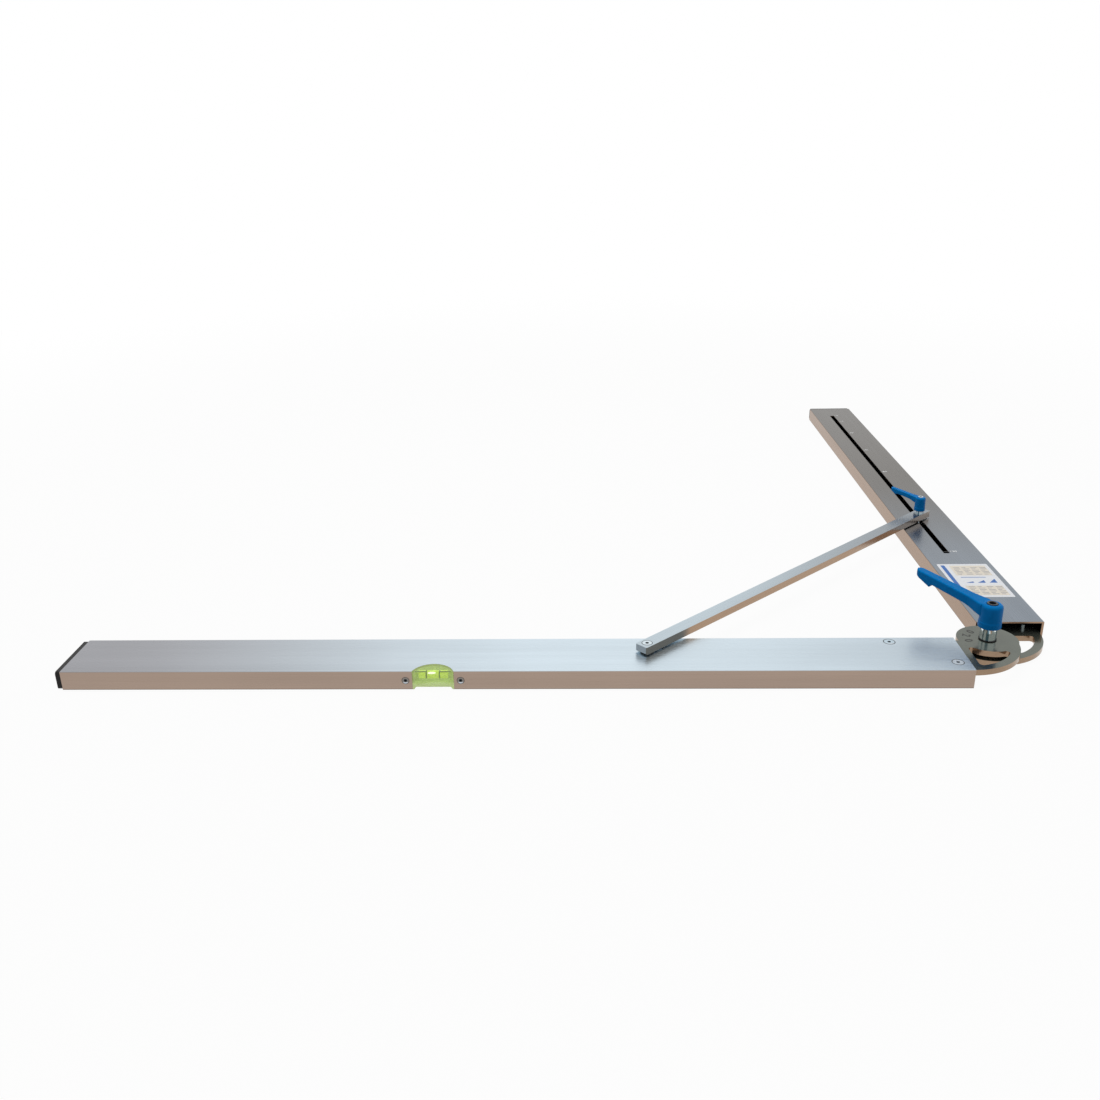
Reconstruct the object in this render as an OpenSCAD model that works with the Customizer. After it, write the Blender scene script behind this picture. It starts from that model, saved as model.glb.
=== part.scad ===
// Folding construction square: two flat aluminium arms joined by a hinge of two stacked plates,
// held at the chosen angle by a strut whose far end slides along a slot and is clamped by a lever.
// It lies on its back face. The origin is the middle of its square footprint, on the ground.

/* [Arms] */
// Length of each leg, from the outer corner to the end of its cap
leg_l = 1000; // [900:10:1100]
// Width of the arm profile
arm_w = 70; // [66:1:78]
// Height of the arm profile
arm_h = 20; // [19:0.5:23]
// Thickness of the profile's top and bottom walls
wall_t = 2; // [1.5:0.1:2.4]
// Thickness of the profile's side walls
side_t = 2.5; // [2:0.1:3]
// Radius of the profile's long outer edges
edge_r = 0.8; // [0.4:0.1:1.2]
// Distance from the hinge axis to the open mouth of each arm
mouth_gap = 35; // [33:0.5:40]
// Space left between the two arms when the square is folded shut
shut_gap = 0.6; // [0.4:0.1:1.5]

/* [End caps] */
// Thickness of the cap outside the arm
cap_t = 5; // [3:0.5:8]
// How far the cap stands back from the arm's outer faces
cap_inset = 0.4; // [0.2:0.1:0.8]
// Radius of the cap's outer corners
cap_r = 3; // [1.5:0.5:4]
// Depth of the cap's plug inside the arm
cap_plug_l = 16; // [10:1:25]
// Wall of the cap's plug
cap_plug_t = 1.6; // [1.2:0.1:2.5]
// Number of stiffening ribs inside the cap's plug
cap_ribs = 3; // [2:1:5]

/* [Hinge plates] */
// Thickness of each hinge plate
plate_t = 6; // [5:0.25:6.5]
// Radius of the disc round the hinge axis
disc_r = 30; // [28:0.5:32]
// Radius of the plate's curved outer rim
rim_r = 62; // [60:0.5:64]
// Width of the rim between the window and the outer edge
rim_w = 8.5; // [6:0.5:10]
// Distance of the window from the arm's mouth
window_off = 8.7; // [6:0.1:12]
// Wall between the window and the disc's edge
window_disc_w = 1.5; // [1:0.1:3]
// Radius of the window's corners
window_r = 3.4; // [2:0.2:4.5]
// Length of the tongue inside the arm
tongue_l = 80; // [76:1:100]
// Corner cut on the tongue's inner end
tongue_cut = 6; // [2:0.5:10]

/* [Plate screws] */
// Thread diameter of the plate screws
screw_d = 6; // [5:0.5:6.5]
// Head diameter of the plate screws
screw_head_d = 12; // [11:0.2:12.6]
// How far the plate screws stand out past the plate
screw_stick = 4; // [2:0.5:5]
// Distance of the inner plate screw from the mouth
screw_far = 66.5; // [55:0.5:70]
// Distance of the outer plate screw from the mouth
screw_near = 12; // [10:0.5:20]
// Distance of the plate screws from the long edges of the arm
screw_edge = 12.5; // [11:0.5:16]

/* [Hinge pin] */
// Diameter of the hinge bolt
pivot_d = 10; // [8:0.5:11]
// Head diameter of the hinge bolt
pivot_head_d = 20; // [17:0.5:20.5]
// Radius of the spacer disc between the plates
spacer_r = 17; // [14:0.5:20]
// Thickness of the washer under the main lever
top_washer_t = 1; // [0.6:0.1:1.6]
// Radial play of the pins that turn in the hinge, in the strut and in the levers
run_gap = 0.07; // [0.03:0.01:0.1]
// Play between pieces that are fixed together
fit_gap = 0.1; // [0.05:0.01:0.2]

/* [Strut] */
// Distance from the hinge axis to the strut's own pivot, along the arm
strut_at = 345.7; // [330:0.1:350]
// Distance of the strut pivot and of the slot from the arm's inner edge
track_in = 29; // [27:0.5:32]
// Width of the strut bar
strut_w = 15; // [13:0.5:17]
// Thickness of the strut bar
strut_t = 8; // [6:0.5:9]
// Length of the bar past its pivot
strut_tail = 9; // [8:0.5:12]
// Length of the bar past the clamping stud
strut_nose = 15; // [10:0.5:18]
// Bevel round the bar's ends
strut_bevel = 1; // [0.5:0.1:1.5]
// Thickness of the washers under the strut
strut_washer_t = 1.5; // [1:0.1:2.5]
// Diameter of the washers under the strut
strut_washer_d = 13; // [11:0.5:15]
// Thread diameter of the strut's pivot screw and of the clamping stud
stud_d = 6; // [5:0.5:6.5]
// Outer diameter of the threaded bush under the strut's pivot
anchor_d = 9; // [8.5:0.1:10]
// Diameter of the bush's flange under the arm's top wall
anchor_flange_d = 24; // [18:1:26]
// Thickness of the bush's flange
anchor_flange_t = 4; // [3:0.5:5]

/* [Slot and slide] */
// Width of the slot in the slotted arm
slot_w = 7; // [6.8:0.1:8]
// Widest opening angle that the slot allows
open_max = 120; // [110:1:122]
// Width of the slide nut inside the arm
nut_w = 16; // [14:0.5:20]
// Length of the slide nut
nut_l = 24; // [20:1:32]
// Height of the slide nut's block
nut_h = 7; // [6:0.5:8]
// Thickness of the glide pad between the nut and the arm
pad_t = 0.8; // [0.5:0.1:1.2]

/* [Main lever] */
// Diameter of the main lever's hub
main_hub_d = 24; // [22:0.5:26]
// Height of the main lever's hub
main_hub_h = 25; // [24:0.5:28]
// Diameter of the steel bush under the main lever
main_bush_d = 16; // [14:0.5:18]
// Height of the steel bush below the hub
main_foot_h = 13; // [10:0.5:15]
// Reach of the main lever from its axis to the tip
main_reach = 82; // [74:1:90]
// Rise of the main lever from its hub to its tip
main_rise = 15; // [10:1:20]
// Width of the main lever's arm
main_arm_w = 13; // [11:0.5:15]
// Direction in which the main lever points
main_turn = 138; // [100:1:180]
// Head diameter of the screw in the main lever
main_screw_d = 11; // [10:0.5:11.4]

/* [Small lever] */
// Diameter of the small lever's hub
small_hub_d = 14; // [13.4:0.2:16]
// Height of the small lever's hub
small_hub_h = 18; // [17:0.5:22]
// Diameter of the steel bush under the small lever
small_bush_d = 11; // [9.5:0.5:12]
// Height of the steel bush below the small hub
small_foot_h = 2.6; // [2:0.2:4]
// Reach of the small lever from its axis to the tip
small_reach = 42; // [36:1:50]
// Rise of the small lever from its hub to its tip
small_rise = 5; // [3:0.5:10]
// Width of the small lever's arm
small_arm_w = 8; // [7:0.5:9]
// Direction in which the small lever points
small_turn = 135; // [90:1:180]
// Head diameter of the screw in the small lever
small_screw_d = 6.4; // [5.6:0.1:6.8]

/* [Level vial] */
// Distance of the vial's middle from the arm's mouth
vial_at = 521; // [400:1:600]
// Length of the vial block along the arm's edge
vial_l = 40.6; // [38:0.2:46]
// Depth of the vial block into the arm
vial_in = 15.3; // [14:0.1:17]
// Depth of the notch along the block's underside
vial_notch = 3; // [2:0.2:3.4]
// Diameter of the liquid's chamber
chamber_d = 8; // [7:0.2:8.4]
// Length of the liquid's chamber
chamber_l = 28; // [22:0.5:29]
// Length of the bubble
bubble_l = 8.6; // [7:0.2:11]
// Distance between the two vial screws
vial_screw_gap = 54; // [50:0.2:58]
// Thread diameter of the vial screws
vial_screw_d = 4; // [3:0.5:4.5]

/* [Hidden] */

$fn = 64;
// A short overrun that carries every cut clean through its face
cut = 0.5;

// The arms and the hinge axis, measured from the outer corner of the level arm's mouth
tube_l = leg_l - arm_w - mouth_gap - cap_t;
pivot_x = mouth_gap - shut_gap / 2;
pivot_y = arm_w + shut_gap / 2;
inside_h = arm_h - 2 * wall_t;
inside_w = arm_w - 2 * side_t;

// Heights of the stacked hinge plates
upper_z = arm_h - wall_t - plate_t;
lower_top_z = wall_t + plate_t;
spacer_t = upper_z - lower_top_z;

// The strut and its slide: the strut's length makes the arms square at rest
track_off = track_in + shut_gap / 2;
strut_x = pivot_x - strut_at;
strut_y = arm_w - track_in;
strut_span = sqrt(2) * (strut_at + track_off);
strut_z = arm_h + strut_washer_t;
strut_top_z = strut_z + strut_t;
slide_x = arm_w + mouth_gap - strut_y;
slide_y = pivot_y + strut_at;

// Distance of the slide from the hinge axis along the slotted arm, when the arms open by angle a
function slide_b(a) = track_off * sin(a) - strut_at * cos(a);
function slide_c(a) = pow(strut_at, 2) + 2 * pow(track_off, 2) * (1 + cos(a))
    + 2 * strut_at * track_off * sin(a) - pow(strut_span, 2);
function slide_dist(a) = sqrt(pow(slide_b(a), 2) - slide_c(a)) - slide_b(a);
slot_near = pivot_y + slide_dist(open_max) - slot_w / 2;
slot_far = pivot_y + slide_dist(0) + slot_w / 2;

// Countersunk heads are right-angled cones
function cone_h(head_d, d) = (head_d - d) / 2;

// The vial block is a slice of a cylinder
vial_r = (pow(vial_l / 2, 2) + pow(vial_in, 2)) / (2 * vial_in);
vial_y = vial_in - vial_r;
chamber_y = chamber_d / 2 + 0.6;
chamber_z = arm_h - chamber_d / 2 - 1.6;
holder_wall = 4;
holder_l = vial_screw_gap + 14;
vial_head_d = vial_screw_d * 1.85;
plug_d = 3;

// The levers: heights of the pieces inside the hub, from the foot of the steel bush
main_foot_z = arm_h - wall_t + top_washer_t;
small_foot_z = strut_top_z;
main_wire = 1.1;
teeth = 18;
teeth_h = 2.2;
arm_sides = 16;
root_sink = 1.4;
small_wire = 0.6;
main_coils = 3.5;
small_coils = 3.5;
socket_t = 2;
main_core_h = 8;
small_core_h = 6;

LEVER_BLUE = [0.0, 0.36, 0.68];
ALUMINIUM = [0.78, 0.80, 0.82];
ZINC = [0.52, 0.54, 0.50];
STEEL = [0.66, 0.68, 0.70];
BLACK = [0.05, 0.05, 0.055];

// Puts a child that is drawn from the level arm's mouth into the object's frame
module at_level_arm() {
    translate([leg_l / 2 - arm_w - mouth_gap, -leg_l / 2, 0]) children();
}

// Turns a piece of the level arm over about the corner's diagonal, onto the slotted arm
module turned_over() {
    mid = (arm_w + mouth_gap) / 2;
    translate([mid, mid, arm_h / 2]) rotate(180, [1, -1, 0]) translate([-mid, -mid, -arm_h / 2])
        children();
}

// A flat plate outline with round corners, from exact arcs
module round_rect(w, h, r) {
    translate([r, 0]) square([w - 2 * r, h]);
    translate([0, r]) square([w, h - 2 * r]);
    for (x = [r, w - r], y = [r, h - r]) translate([x, y]) circle(r);
}

// A ring or washer standing on the ground plane
module washer(d, hole_d, t) {
    difference() {
        cylinder(h = t, d = d);
        translate([0, 0, -cut]) cylinder(h = t + 2 * cut, d = hole_d);
    }
}

// A countersunk screw with its head flush at height 0, its shank downwards
module countersunk(d, head_d, l) {
    cone = cone_h(head_d, d);
    difference() {
        union() {
            translate([0, 0, -cone]) cylinder(h = cone, d1 = d, d2 = head_d);
            translate([0, 0, -l]) cylinder(h = l - cone / 2, d = d);
        }
        translate([0, 0, -cone * 0.9]) cylinder(h = cone + cut, d = d * 0.62, $fn = 6);
    }
}

// The hole that a countersunk screw needs, to the given depth
module countersunk_hole(d, head_d, l, gap) {
    cone = cone_h(head_d, d);
    translate([0, 0, -cone]) cylinder(h = cone, d1 = d + 2 * gap, d2 = head_d + 2 * gap);
    translate([0, 0, -l]) cylinder(h = l, d = d + 2 * gap);
    translate([0, 0, -0.001]) cylinder(h = cut, d = head_d + 2 * gap);
}

// The rectangular tube of an arm, with its mouth at x = 0 and its far end at minus its length
module arm_tube() {
    difference() {
        translate([-tube_l, 0, 0]) rotate([90, 0, 90]) linear_extrude(tube_l)
            round_rect(arm_w, arm_h, edge_r);
        translate([-tube_l - cut, side_t, wall_t]) cube([tube_l + 2 * cut, inside_w, inside_h]);
    }
}

// Places a child at each of a hinge plate's two screws, at the arm's top face
module at_plate_screws() {
    translate([-screw_far, arm_w - screw_edge + 3, arm_h]) children();
    translate([-screw_near, screw_edge + 4, arm_h]) children();
}

module plate_screw_holes() {
    at_plate_screws() countersunk_hole(screw_d, screw_head_d, wall_t + plate_t + cut, fit_gap);
}

module plate_screws() {
    at_plate_screws() countersunk(screw_d, screw_head_d, wall_t + plate_t + screw_stick);
}

// A black cap closes the far end of an arm: a flange with round corners and a ribbed plug
module end_cap() {
    plug_w = inside_w - 2 * fit_gap;
    plug_h = inside_h - 2 * fit_gap;
    color(BLACK) translate([-tube_l, 0, 0]) {
        rotate([90, 0, -90]) translate([-arm_w + cap_inset, cap_inset, 0]) linear_extrude(cap_t)
            round_rect(arm_w - 2 * cap_inset, arm_h - 2 * cap_inset, cap_r);
        translate([0, side_t + fit_gap, wall_t + fit_gap]) difference() {
            cube([cap_plug_l, plug_w, plug_h]);
            for (i = [0:cap_ribs]) {
                cell = (plug_w - (cap_ribs + 2) * cap_plug_t) / (cap_ribs + 1);
                translate([cap_plug_t, cap_plug_t + i * (cell + cap_plug_t), cap_plug_t])
                    cube([cap_plug_l, cell, plug_h - 2 * cap_plug_t]);
            }
        }
    }
}

// The centre of a hinge plate's curved rim
rim_x = 0.5;
rim_y = arm_w - 4;

// The area enclosed by the rim and the mouth of the arm
module rim_area(r, from_x) {
    intersection() {
        translate([rim_x, rim_y]) circle(r, $fn = 128);
        translate([from_x, 0]) square([rim_r + 10, rim_y]);
    }
}

// The window between the rim, the tongue's root and the disc
module plate_window() {
    offset(r = window_r, $fn = 32) offset(delta = -window_r) difference() {
        rim_area(rim_r - rim_w, window_off);
        translate([pivot_x, pivot_y]) circle(disc_r - window_disc_w, $fn = 96);
    }
}

// A hinge plate: tongue in the arm, curved rim, window and bearing disc
module hinge_plate() {
    tongue_in = side_t + 0.7;
    difference() {
        translate([0, 0, upper_z]) linear_extrude(plate_t) difference() {
            union() {
                translate([pivot_x, pivot_y]) circle(disc_r, $fn = 128);
                rim_area(rim_r, 0);
                polygon([[-tongue_l, tongue_in + tongue_cut], [-tongue_l + tongue_cut, tongue_in],
                    [cut, tongue_in], [pivot_x, tongue_in + disc_r], [pivot_x, arm_w - tongue_in],
                    [-tongue_l + tongue_cut, arm_w - tongue_in],
                    [-tongue_l, arm_w - tongue_in - tongue_cut]]);
            }
            plate_window();
        }
        plate_screw_holes();
    }
}

// The level arm: pocket for the vial, countersunk plate screws, hole for the strut's anchor
module level_arm_profile() {
    color(ALUMINIUM) at_level_arm() difference() {
        arm_tube();
        plate_screw_holes();
        translate([strut_x, strut_y, arm_h - wall_t - cut])
            cylinder(h = wall_t + 2 * cut, d = anchor_d + 2 * run_gap);
        translate([-vial_at, vial_y, -cut]) cylinder(h = arm_h + 2 * cut, r = vial_r + fit_gap, $fn = 96);
        at_vial_screws() countersunk_hole(vial_screw_d, vial_head_d, side_t + cut, fit_gap);
    }
}

module level_arm_end_cap() {
    at_level_arm() end_cap();
}

module upper_hinge_plate() {
    color(ZINC) at_level_arm() difference() {
        hinge_plate();
        translate([pivot_x, pivot_y, 0]) cylinder(h = arm_h, d = pivot_d + 2 * run_gap);
    }
}

module upper_plate_screws() {
    color(STEEL) at_level_arm() plate_screws();
}

// Places a child at each vial screw, with its head at the arm's outer edge and its axis inwards
module at_vial_screws() {
    for (side = [-1, 1]) translate([-vial_at + side * vial_screw_gap / 2, 0, arm_h / 2])
        rotate([90, 0, 0]) children();
}

// The outline of the vial block, grown by a gap
module vial_outline(gap) {
    intersection() {
        translate([0, vial_y]) circle(vial_r + gap, $fn = 96);
        translate([-vial_l, 0]) square([2 * vial_l, 2 * vial_in]);
    }
}

// A saddle inside the arm, screwed to its outer wall, that the vial block is set in
module vial_holder() {
    saddle_in = vial_in + holder_wall;
    color([0.9, 0.9, 0.88]) at_level_arm() difference() {
        translate([-vial_at, 0, wall_t + fit_gap]) linear_extrude(inside_h - 2 * fit_gap) difference() {
            polygon([[-holder_l / 2, side_t + fit_gap], [holder_l / 2, side_t + fit_gap],
                [holder_l / 2, side_t + 8], [vial_l / 2, saddle_in], [-vial_l / 2, saddle_in],
                [-holder_l / 2, side_t + 8]]);
            translate([0, vial_y]) circle(vial_r + fit_gap, $fn = 96);
        }
        at_vial_screws() translate([0, 0, -holder_wall - side_t])
            cylinder(h = 2 * holder_wall, d = vial_screw_d + 2 * fit_gap);
    }
}

// The clear vial block with its drilled chamber and filling hole
module vial_block() {
    foot = 0.3;
    end = vial_l / 2;
    color([0.75, 0.88, 0.45, 0.5]) at_level_arm() translate([-vial_at, 0, 0]) difference() {
        translate([0, 0, foot]) linear_extrude(arm_h - foot) vial_outline(0);
        translate([0, vial_in + cut, 0]) rotate([90, 0, 0]) linear_extrude(vial_in + 2 * cut)
            polygon([[-end + 0.6, -cut], [end - 0.6, -cut], [end - 3.4, vial_notch],
                [3.4 - end, vial_notch]]);
        chamber(0);
        translate([0, chamber_y, chamber_z]) rotate([-90, 0, 0]) cylinder(h = vial_in, d = plug_d);
    }
}

// The liquid's space, shrunk by a gap
module chamber(gap) {
    translate([-chamber_l / 2 + gap, chamber_y, chamber_z]) rotate([0, 90, 0])
        cylinder(h = chamber_l - 2 * gap, d = chamber_d - 2 * gap);
}

// The liquid, with the bubble's hollow along its top
module vial_liquid() {
    bubble_r = chamber_d * 0.3;
    color([0.72, 0.85, 0.15, 0.8]) at_level_arm() translate([-vial_at, 0, 0]) difference() {
        chamber(fit_gap / 2);
        translate([-bubble_l / 2, chamber_y, chamber_z + chamber_d / 2 - bubble_r / 3])
            rotate([0, 90, 0]) cylinder(h = bubble_l, r = bubble_r);
    }
}

module vial_filler_plug() {
    plug_from = chamber_y + chamber_d / 2;
    color([0.85, 0.9, 0.7]) at_level_arm() translate([-vial_at, plug_from, chamber_z])
        rotate([-90, 0, 0]) cylinder(h = vial_in - plug_from - 0.2, d = plug_d - fit_gap);
}

module vial_screws() {
    color(STEEL) at_level_arm() at_vial_screws()
        countersunk(vial_screw_d, vial_head_d, side_t + holder_wall);
}

// A threaded bush that turns in the level arm's top wall with the strut's screw, held by its flange
module strut_anchor_bush() {
    flange_z = arm_h - wall_t - run_gap - anchor_flange_t;
    color(STEEL) at_level_arm() translate([strut_x, strut_y, 0]) difference() {
        union() {
            translate([0, 0, arm_h - wall_t - 8]) cylinder(h = 8 + wall_t, d = anchor_d);
            translate([0, 0, flange_z]) cylinder(h = anchor_flange_t, d = anchor_flange_d);
        }
        cylinder(h = arm_h + cut, d = stud_d + fit_gap);
    }
}

module strut_pivot_screw() {
    color(STEEL) at_level_arm() translate([strut_x, strut_y, strut_top_z])
        countersunk(stud_d, 2 * stud_d - 1, strut_top_z - arm_h + wall_t + 6);
}

module strut_pivot_washer() {
    color(BLACK) at_level_arm() translate([strut_x, strut_y, arm_h])
        washer(strut_washer_d, stud_d + 2 * run_gap, strut_washer_t);
}

// Places a child in the strut's own frame: x along the bar from its pivot, z at the ground
module at_strut() {
    at_level_arm() translate([strut_x, strut_y, 0]) rotate(45) children();
}

// The strut: a flat bar with bevelled ends, a countersunk bearing hole and a stud hole
module strut_bar() {
    b = strut_bevel;
    color(ALUMINIUM) at_strut() difference() {
        intersection() {
            translate([0, 0, strut_z]) linear_extrude(strut_t)
                polygon([[-strut_tail, b - strut_w / 2], [b - strut_tail, -strut_w / 2],
                    [strut_span + strut_nose - b, -strut_w / 2], [strut_span + strut_nose, b - strut_w / 2],
                    [strut_span + strut_nose, strut_w / 2 - b], [strut_span + strut_nose - b, strut_w / 2],
                    [b - strut_tail, strut_w / 2], [-strut_tail, strut_w / 2 - b]]);
            translate([0, strut_w / 2, strut_z]) rotate([90, 0, 0]) linear_extrude(strut_w)
                polygon([[-strut_tail, b], [b - strut_tail, 0], [strut_span + strut_nose - b, 0],
                    [strut_span + strut_nose, b], [strut_span + strut_nose, strut_t],
                    [-strut_tail, strut_t]]);
        }
        translate([0, 0, strut_top_z])
            countersunk_hole(stud_d, 2 * stud_d - 1, strut_t + cut, run_gap);
        translate([strut_span, 0, strut_z - cut])
            cylinder(h = strut_t + 2 * cut, d = stud_d + 2 * fit_gap);
    }
}

// The disc that keeps the two hinge plates apart and turns between them
module hinge_spacer() {
    color([0.2, 0.2, 0.21]) at_level_arm() translate([pivot_x, pivot_y, lower_top_z])
        washer(2 * spacer_r, pivot_d + 2 * run_gap, spacer_t);
}

module lower_hinge_plate() {
    color(ZINC) at_level_arm() difference() {
        turned_over() hinge_plate();
        translate([pivot_x, pivot_y, wall_t]) mirror([0, 0, 1])
            countersunk_hole(pivot_d, pivot_head_d, plate_t + cut, run_gap);
    }
}

module lower_plate_screws() {
    color(STEEL) at_level_arm() turned_over() plate_screws();
}

// The hinge bolt: head sunk in the lower plate, shank up through the plates into the main lever
module hinge_bolt() {
    color(STEEL) at_level_arm() translate([pivot_x, pivot_y, wall_t]) mirror([0, 0, 1])
        countersunk(pivot_d, pivot_head_d, main_foot_z + main_foot_h + 2 - wall_t);
}

module hinge_top_washer() {
    color(BLACK) at_level_arm() translate([pivot_x, pivot_y, arm_h - wall_t])
        washer(main_bush_d + 1.5, pivot_d + 2 * run_gap, top_washer_t);
}

// The slotted arm: the same tube, with the slot along its top face
module slotted_arm_profile() {
    color(ALUMINIUM) at_level_arm() difference() {
        turned_over() difference() {
            arm_tube();
            plate_screw_holes();
        }
        translate([slide_x - slot_w / 2, slot_near, arm_h - wall_t - cut])
            cube([slot_w, slot_far - slot_near, wall_t + 2 * cut]);
    }
}

module slotted_arm_end_cap() {
    at_level_arm() turned_over() end_cap();
}

// A thin forked pad between the slide nut and the arm's top wall, open towards the hinge
module glide_pad() {
    hole_d = slot_w - 4 * fit_gap + 0.4;
    color(BLACK) at_level_arm()
        translate([slide_x, slide_y, arm_h - wall_t - fit_gap - pad_t]) difference() {
            translate([-nut_w / 2, -nut_l / 2, 0]) cube([nut_w, nut_l, pad_t]);
            translate([0, 0, -cut]) cylinder(h = pad_t + 2 * cut, d = hole_d);
            translate([-hole_d / 2, -nut_l, -cut]) cube([hole_d, nut_l, pad_t + 2 * cut]);
        }
}

// The slide nut inside the slotted arm: a block, and a boss that runs in the slot
module slide_nut() {
    top = arm_h - wall_t - 2 * fit_gap - pad_t;
    bevel = 1.5;
    color(STEEL) at_level_arm() translate([slide_x, slide_y, 0]) difference() {
        union() {
            translate([-nut_w / 2, 0, top]) rotate([90, 0, 90]) linear_extrude(nut_w)
                polygon([[-nut_l / 2, 0], [nut_l / 2, 0], [nut_l / 2, bevel - nut_h],
                    [nut_l / 2 - bevel, -nut_h], [bevel - nut_l / 2, -nut_h],
                    [-nut_l / 2, bevel - nut_h]]);
            translate([0, 0, top - 1]) cylinder(h = arm_h - fit_gap - top + 1, d = slot_w - 4 * fit_gap);
        }
        translate([0, 0, top - nut_h - cut]) cylinder(h = nut_h + 4, d = stud_d - 1);
    }
}

// Places a child on the clamping stud's axis, turned with the strut
module at_clamp() {
    at_strut() translate([strut_span, 0, 0]) rotate(-45) children();
}

// The washer under the strut's sliding end, which hangs just clear of the arm
module clamp_washer() {
    color(STEEL) at_clamp() translate([0, 0, arm_h + 2 * fit_gap])
        washer(strut_washer_d, stud_d + 2 * fit_gap, strut_washer_t - 2 * fit_gap);
}

// The clamping stud, which ends at the underside of its washer
module clamp_stud() {
    color(STEEL) at_clamp() translate([0, 0, arm_h + 2 * fit_gap])
        cylinder(h = small_foot_z - arm_h - 2 * fit_gap + small_foot_h + 2, d = stud_d);
}

// The outline of a lever's teeth, grown by a gap
module teeth_outline(d, gap) {
    circle(d = d * 0.86 + 2 * gap);
    for (i = [0:teeth - 1]) rotate(360 * i / teeth)
        polygon([[0, -d * 0.09 - gap], [d / 2 + gap, 0], [0, d * 0.09 + gap]]);
}

// The steel bush of a clamping lever: round foot, core with teeth at its top, threaded bore
module lever_bush(foot_d, foot_h, core_d, core_h, bore_d, bore_h, screw_d) {
    difference() {
        union() {
            cylinder(h = foot_h, d = foot_d);
            cylinder(h = foot_h + core_h, d = core_d * 0.86);
            translate([0, 0, foot_h + core_h - teeth_h]) linear_extrude(teeth_h) teeth_outline(core_d, 0);
        }
        translate([0, 0, -cut]) cylinder(h = bore_h + cut, d = bore_d);
        translate([0, 0, bore_h - cut]) cylinder(h = foot_h + core_h, d = screw_d);
    }
}

// The screw that holds a lever's handle on its bush: cap head with a hexagon socket
module lever_screw(head_d, head_h, d, l) {
    difference() {
        union() {
            cylinder(h = head_h, d = head_d);
            translate([0, 0, -l]) cylinder(h = l + head_h / 2, d = d);
        }
        translate([0, 0, head_h * 0.45]) cylinder(h = head_h, d = head_d * 0.55, $fn = 6);
    }
}

// Points of one turn-by-turn wire ring, for the springs
function coil_ring(a, pitch, r, wire, n) = [for (i = [0:n - 1]) let(b = 360 * i / n)
    [(r + wire / 2 * cos(b)) * cos(a), (r + wire / 2 * cos(b)) * sin(a),
        pitch * a / 360 + wire / 2 * sin(b)]];

// A helical spring between two heights, swept as one tube
module coil_spring(z0, z1, r, wire, coils) {
    sides = 6;
    steps = 12 * coils;
    pitch = (z1 - z0 - wire) / coils;
    points = [for (k = [0:steps]) each coil_ring(30 * k, pitch, r, wire, sides)];
    skin = [for (k = [0:steps - 1], i = [0:sides - 1])
        let(a = k * sides + i, b = k * sides + (i + 1) % sides)
        each [[a, b, b + sides], [a, b + sides, a + sides]]];
    start = [for (i = [1:sides - 2]) [0, i + 1, i]];
    last = steps * sides;
    end = [for (i = [1:sides - 2]) [last, last + i, last + i + 1]];
    translate([0, 0, z0 + wire / 2]) polyhedron(points, concat(skin, start, end), convexity = 6);
}

// Shape of a lever's arm at the share u of the way from its root inside the hub to its tip
function smooth(u) = let(v = max(0, min(1, u))) v * v * (3 - 2 * v);
function end_round(u) = u < 0.88 ? 1 : sqrt(max(0.04, 1 - pow((u - 0.88) / 0.12, 2)));
function arm_top(u, h, rise) = h - root_sink + (rise + root_sink) * u;
function arm_deep(u, root, nub) = root * (1 - 0.3 * smooth(u * 1.5)) + nub * smooth((u - 0.7) / 0.09);
function arm_half(u, w, root_w) = w / 2 * (1 - 0.16 * u) + (root_w - w) / 2 * (1 - smooth(u / 0.28));
function arm_ring(u, r0, reach, h, rise, root, nub, w, root_w) =
    let(e = end_round(u), half = arm_half(u, w, root_w) * e, deep = arm_deep(u, root, nub),
        mid = arm_top(u, h, rise) - deep / 2, tall = deep / 2 * e)
    [for (i = [0:arm_sides - 1]) let(a = 360 * (i + 0.5) / arm_sides, c = cos(a), s = sin(a))
        [r0 + u * (reach - r0), half * sign(c) * pow(abs(c), 0.6), mid + tall * sign(s) * pow(abs(s), 0.6)]];

// The rising arm of a lever with its finger nub, swept from inside the hub's wall to the tip
module lever_arm(r0, reach, h, rise, root, nub, w, root_w) {
    shares = [0, 0.08, 0.16, 0.24, 0.34, 0.5, 0.68, 0.74, 0.8, 0.88, 0.94, 0.98, 1];
    points = [for (u = shares) each arm_ring(u, r0, reach, h, rise, root, nub, w, root_w)];
    skin = [for (k = [0:len(shares) - 2], i = [0:arm_sides - 1])
        let(a = k * arm_sides + i, b = k * arm_sides + (i + 1) % arm_sides)
        each [[a, b + arm_sides, b], [a, a + arm_sides, b + arm_sides]]];
    last = (len(shares) - 1) * arm_sides;
    start = [for (i = [1:arm_sides - 2]) [0, i, i + 1]];
    end = [for (i = [1:arm_sides - 2]) [last, last + i + 1, last + i]];
    polyhedron(points, concat(skin, start, end), convexity = 4);
}

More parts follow.
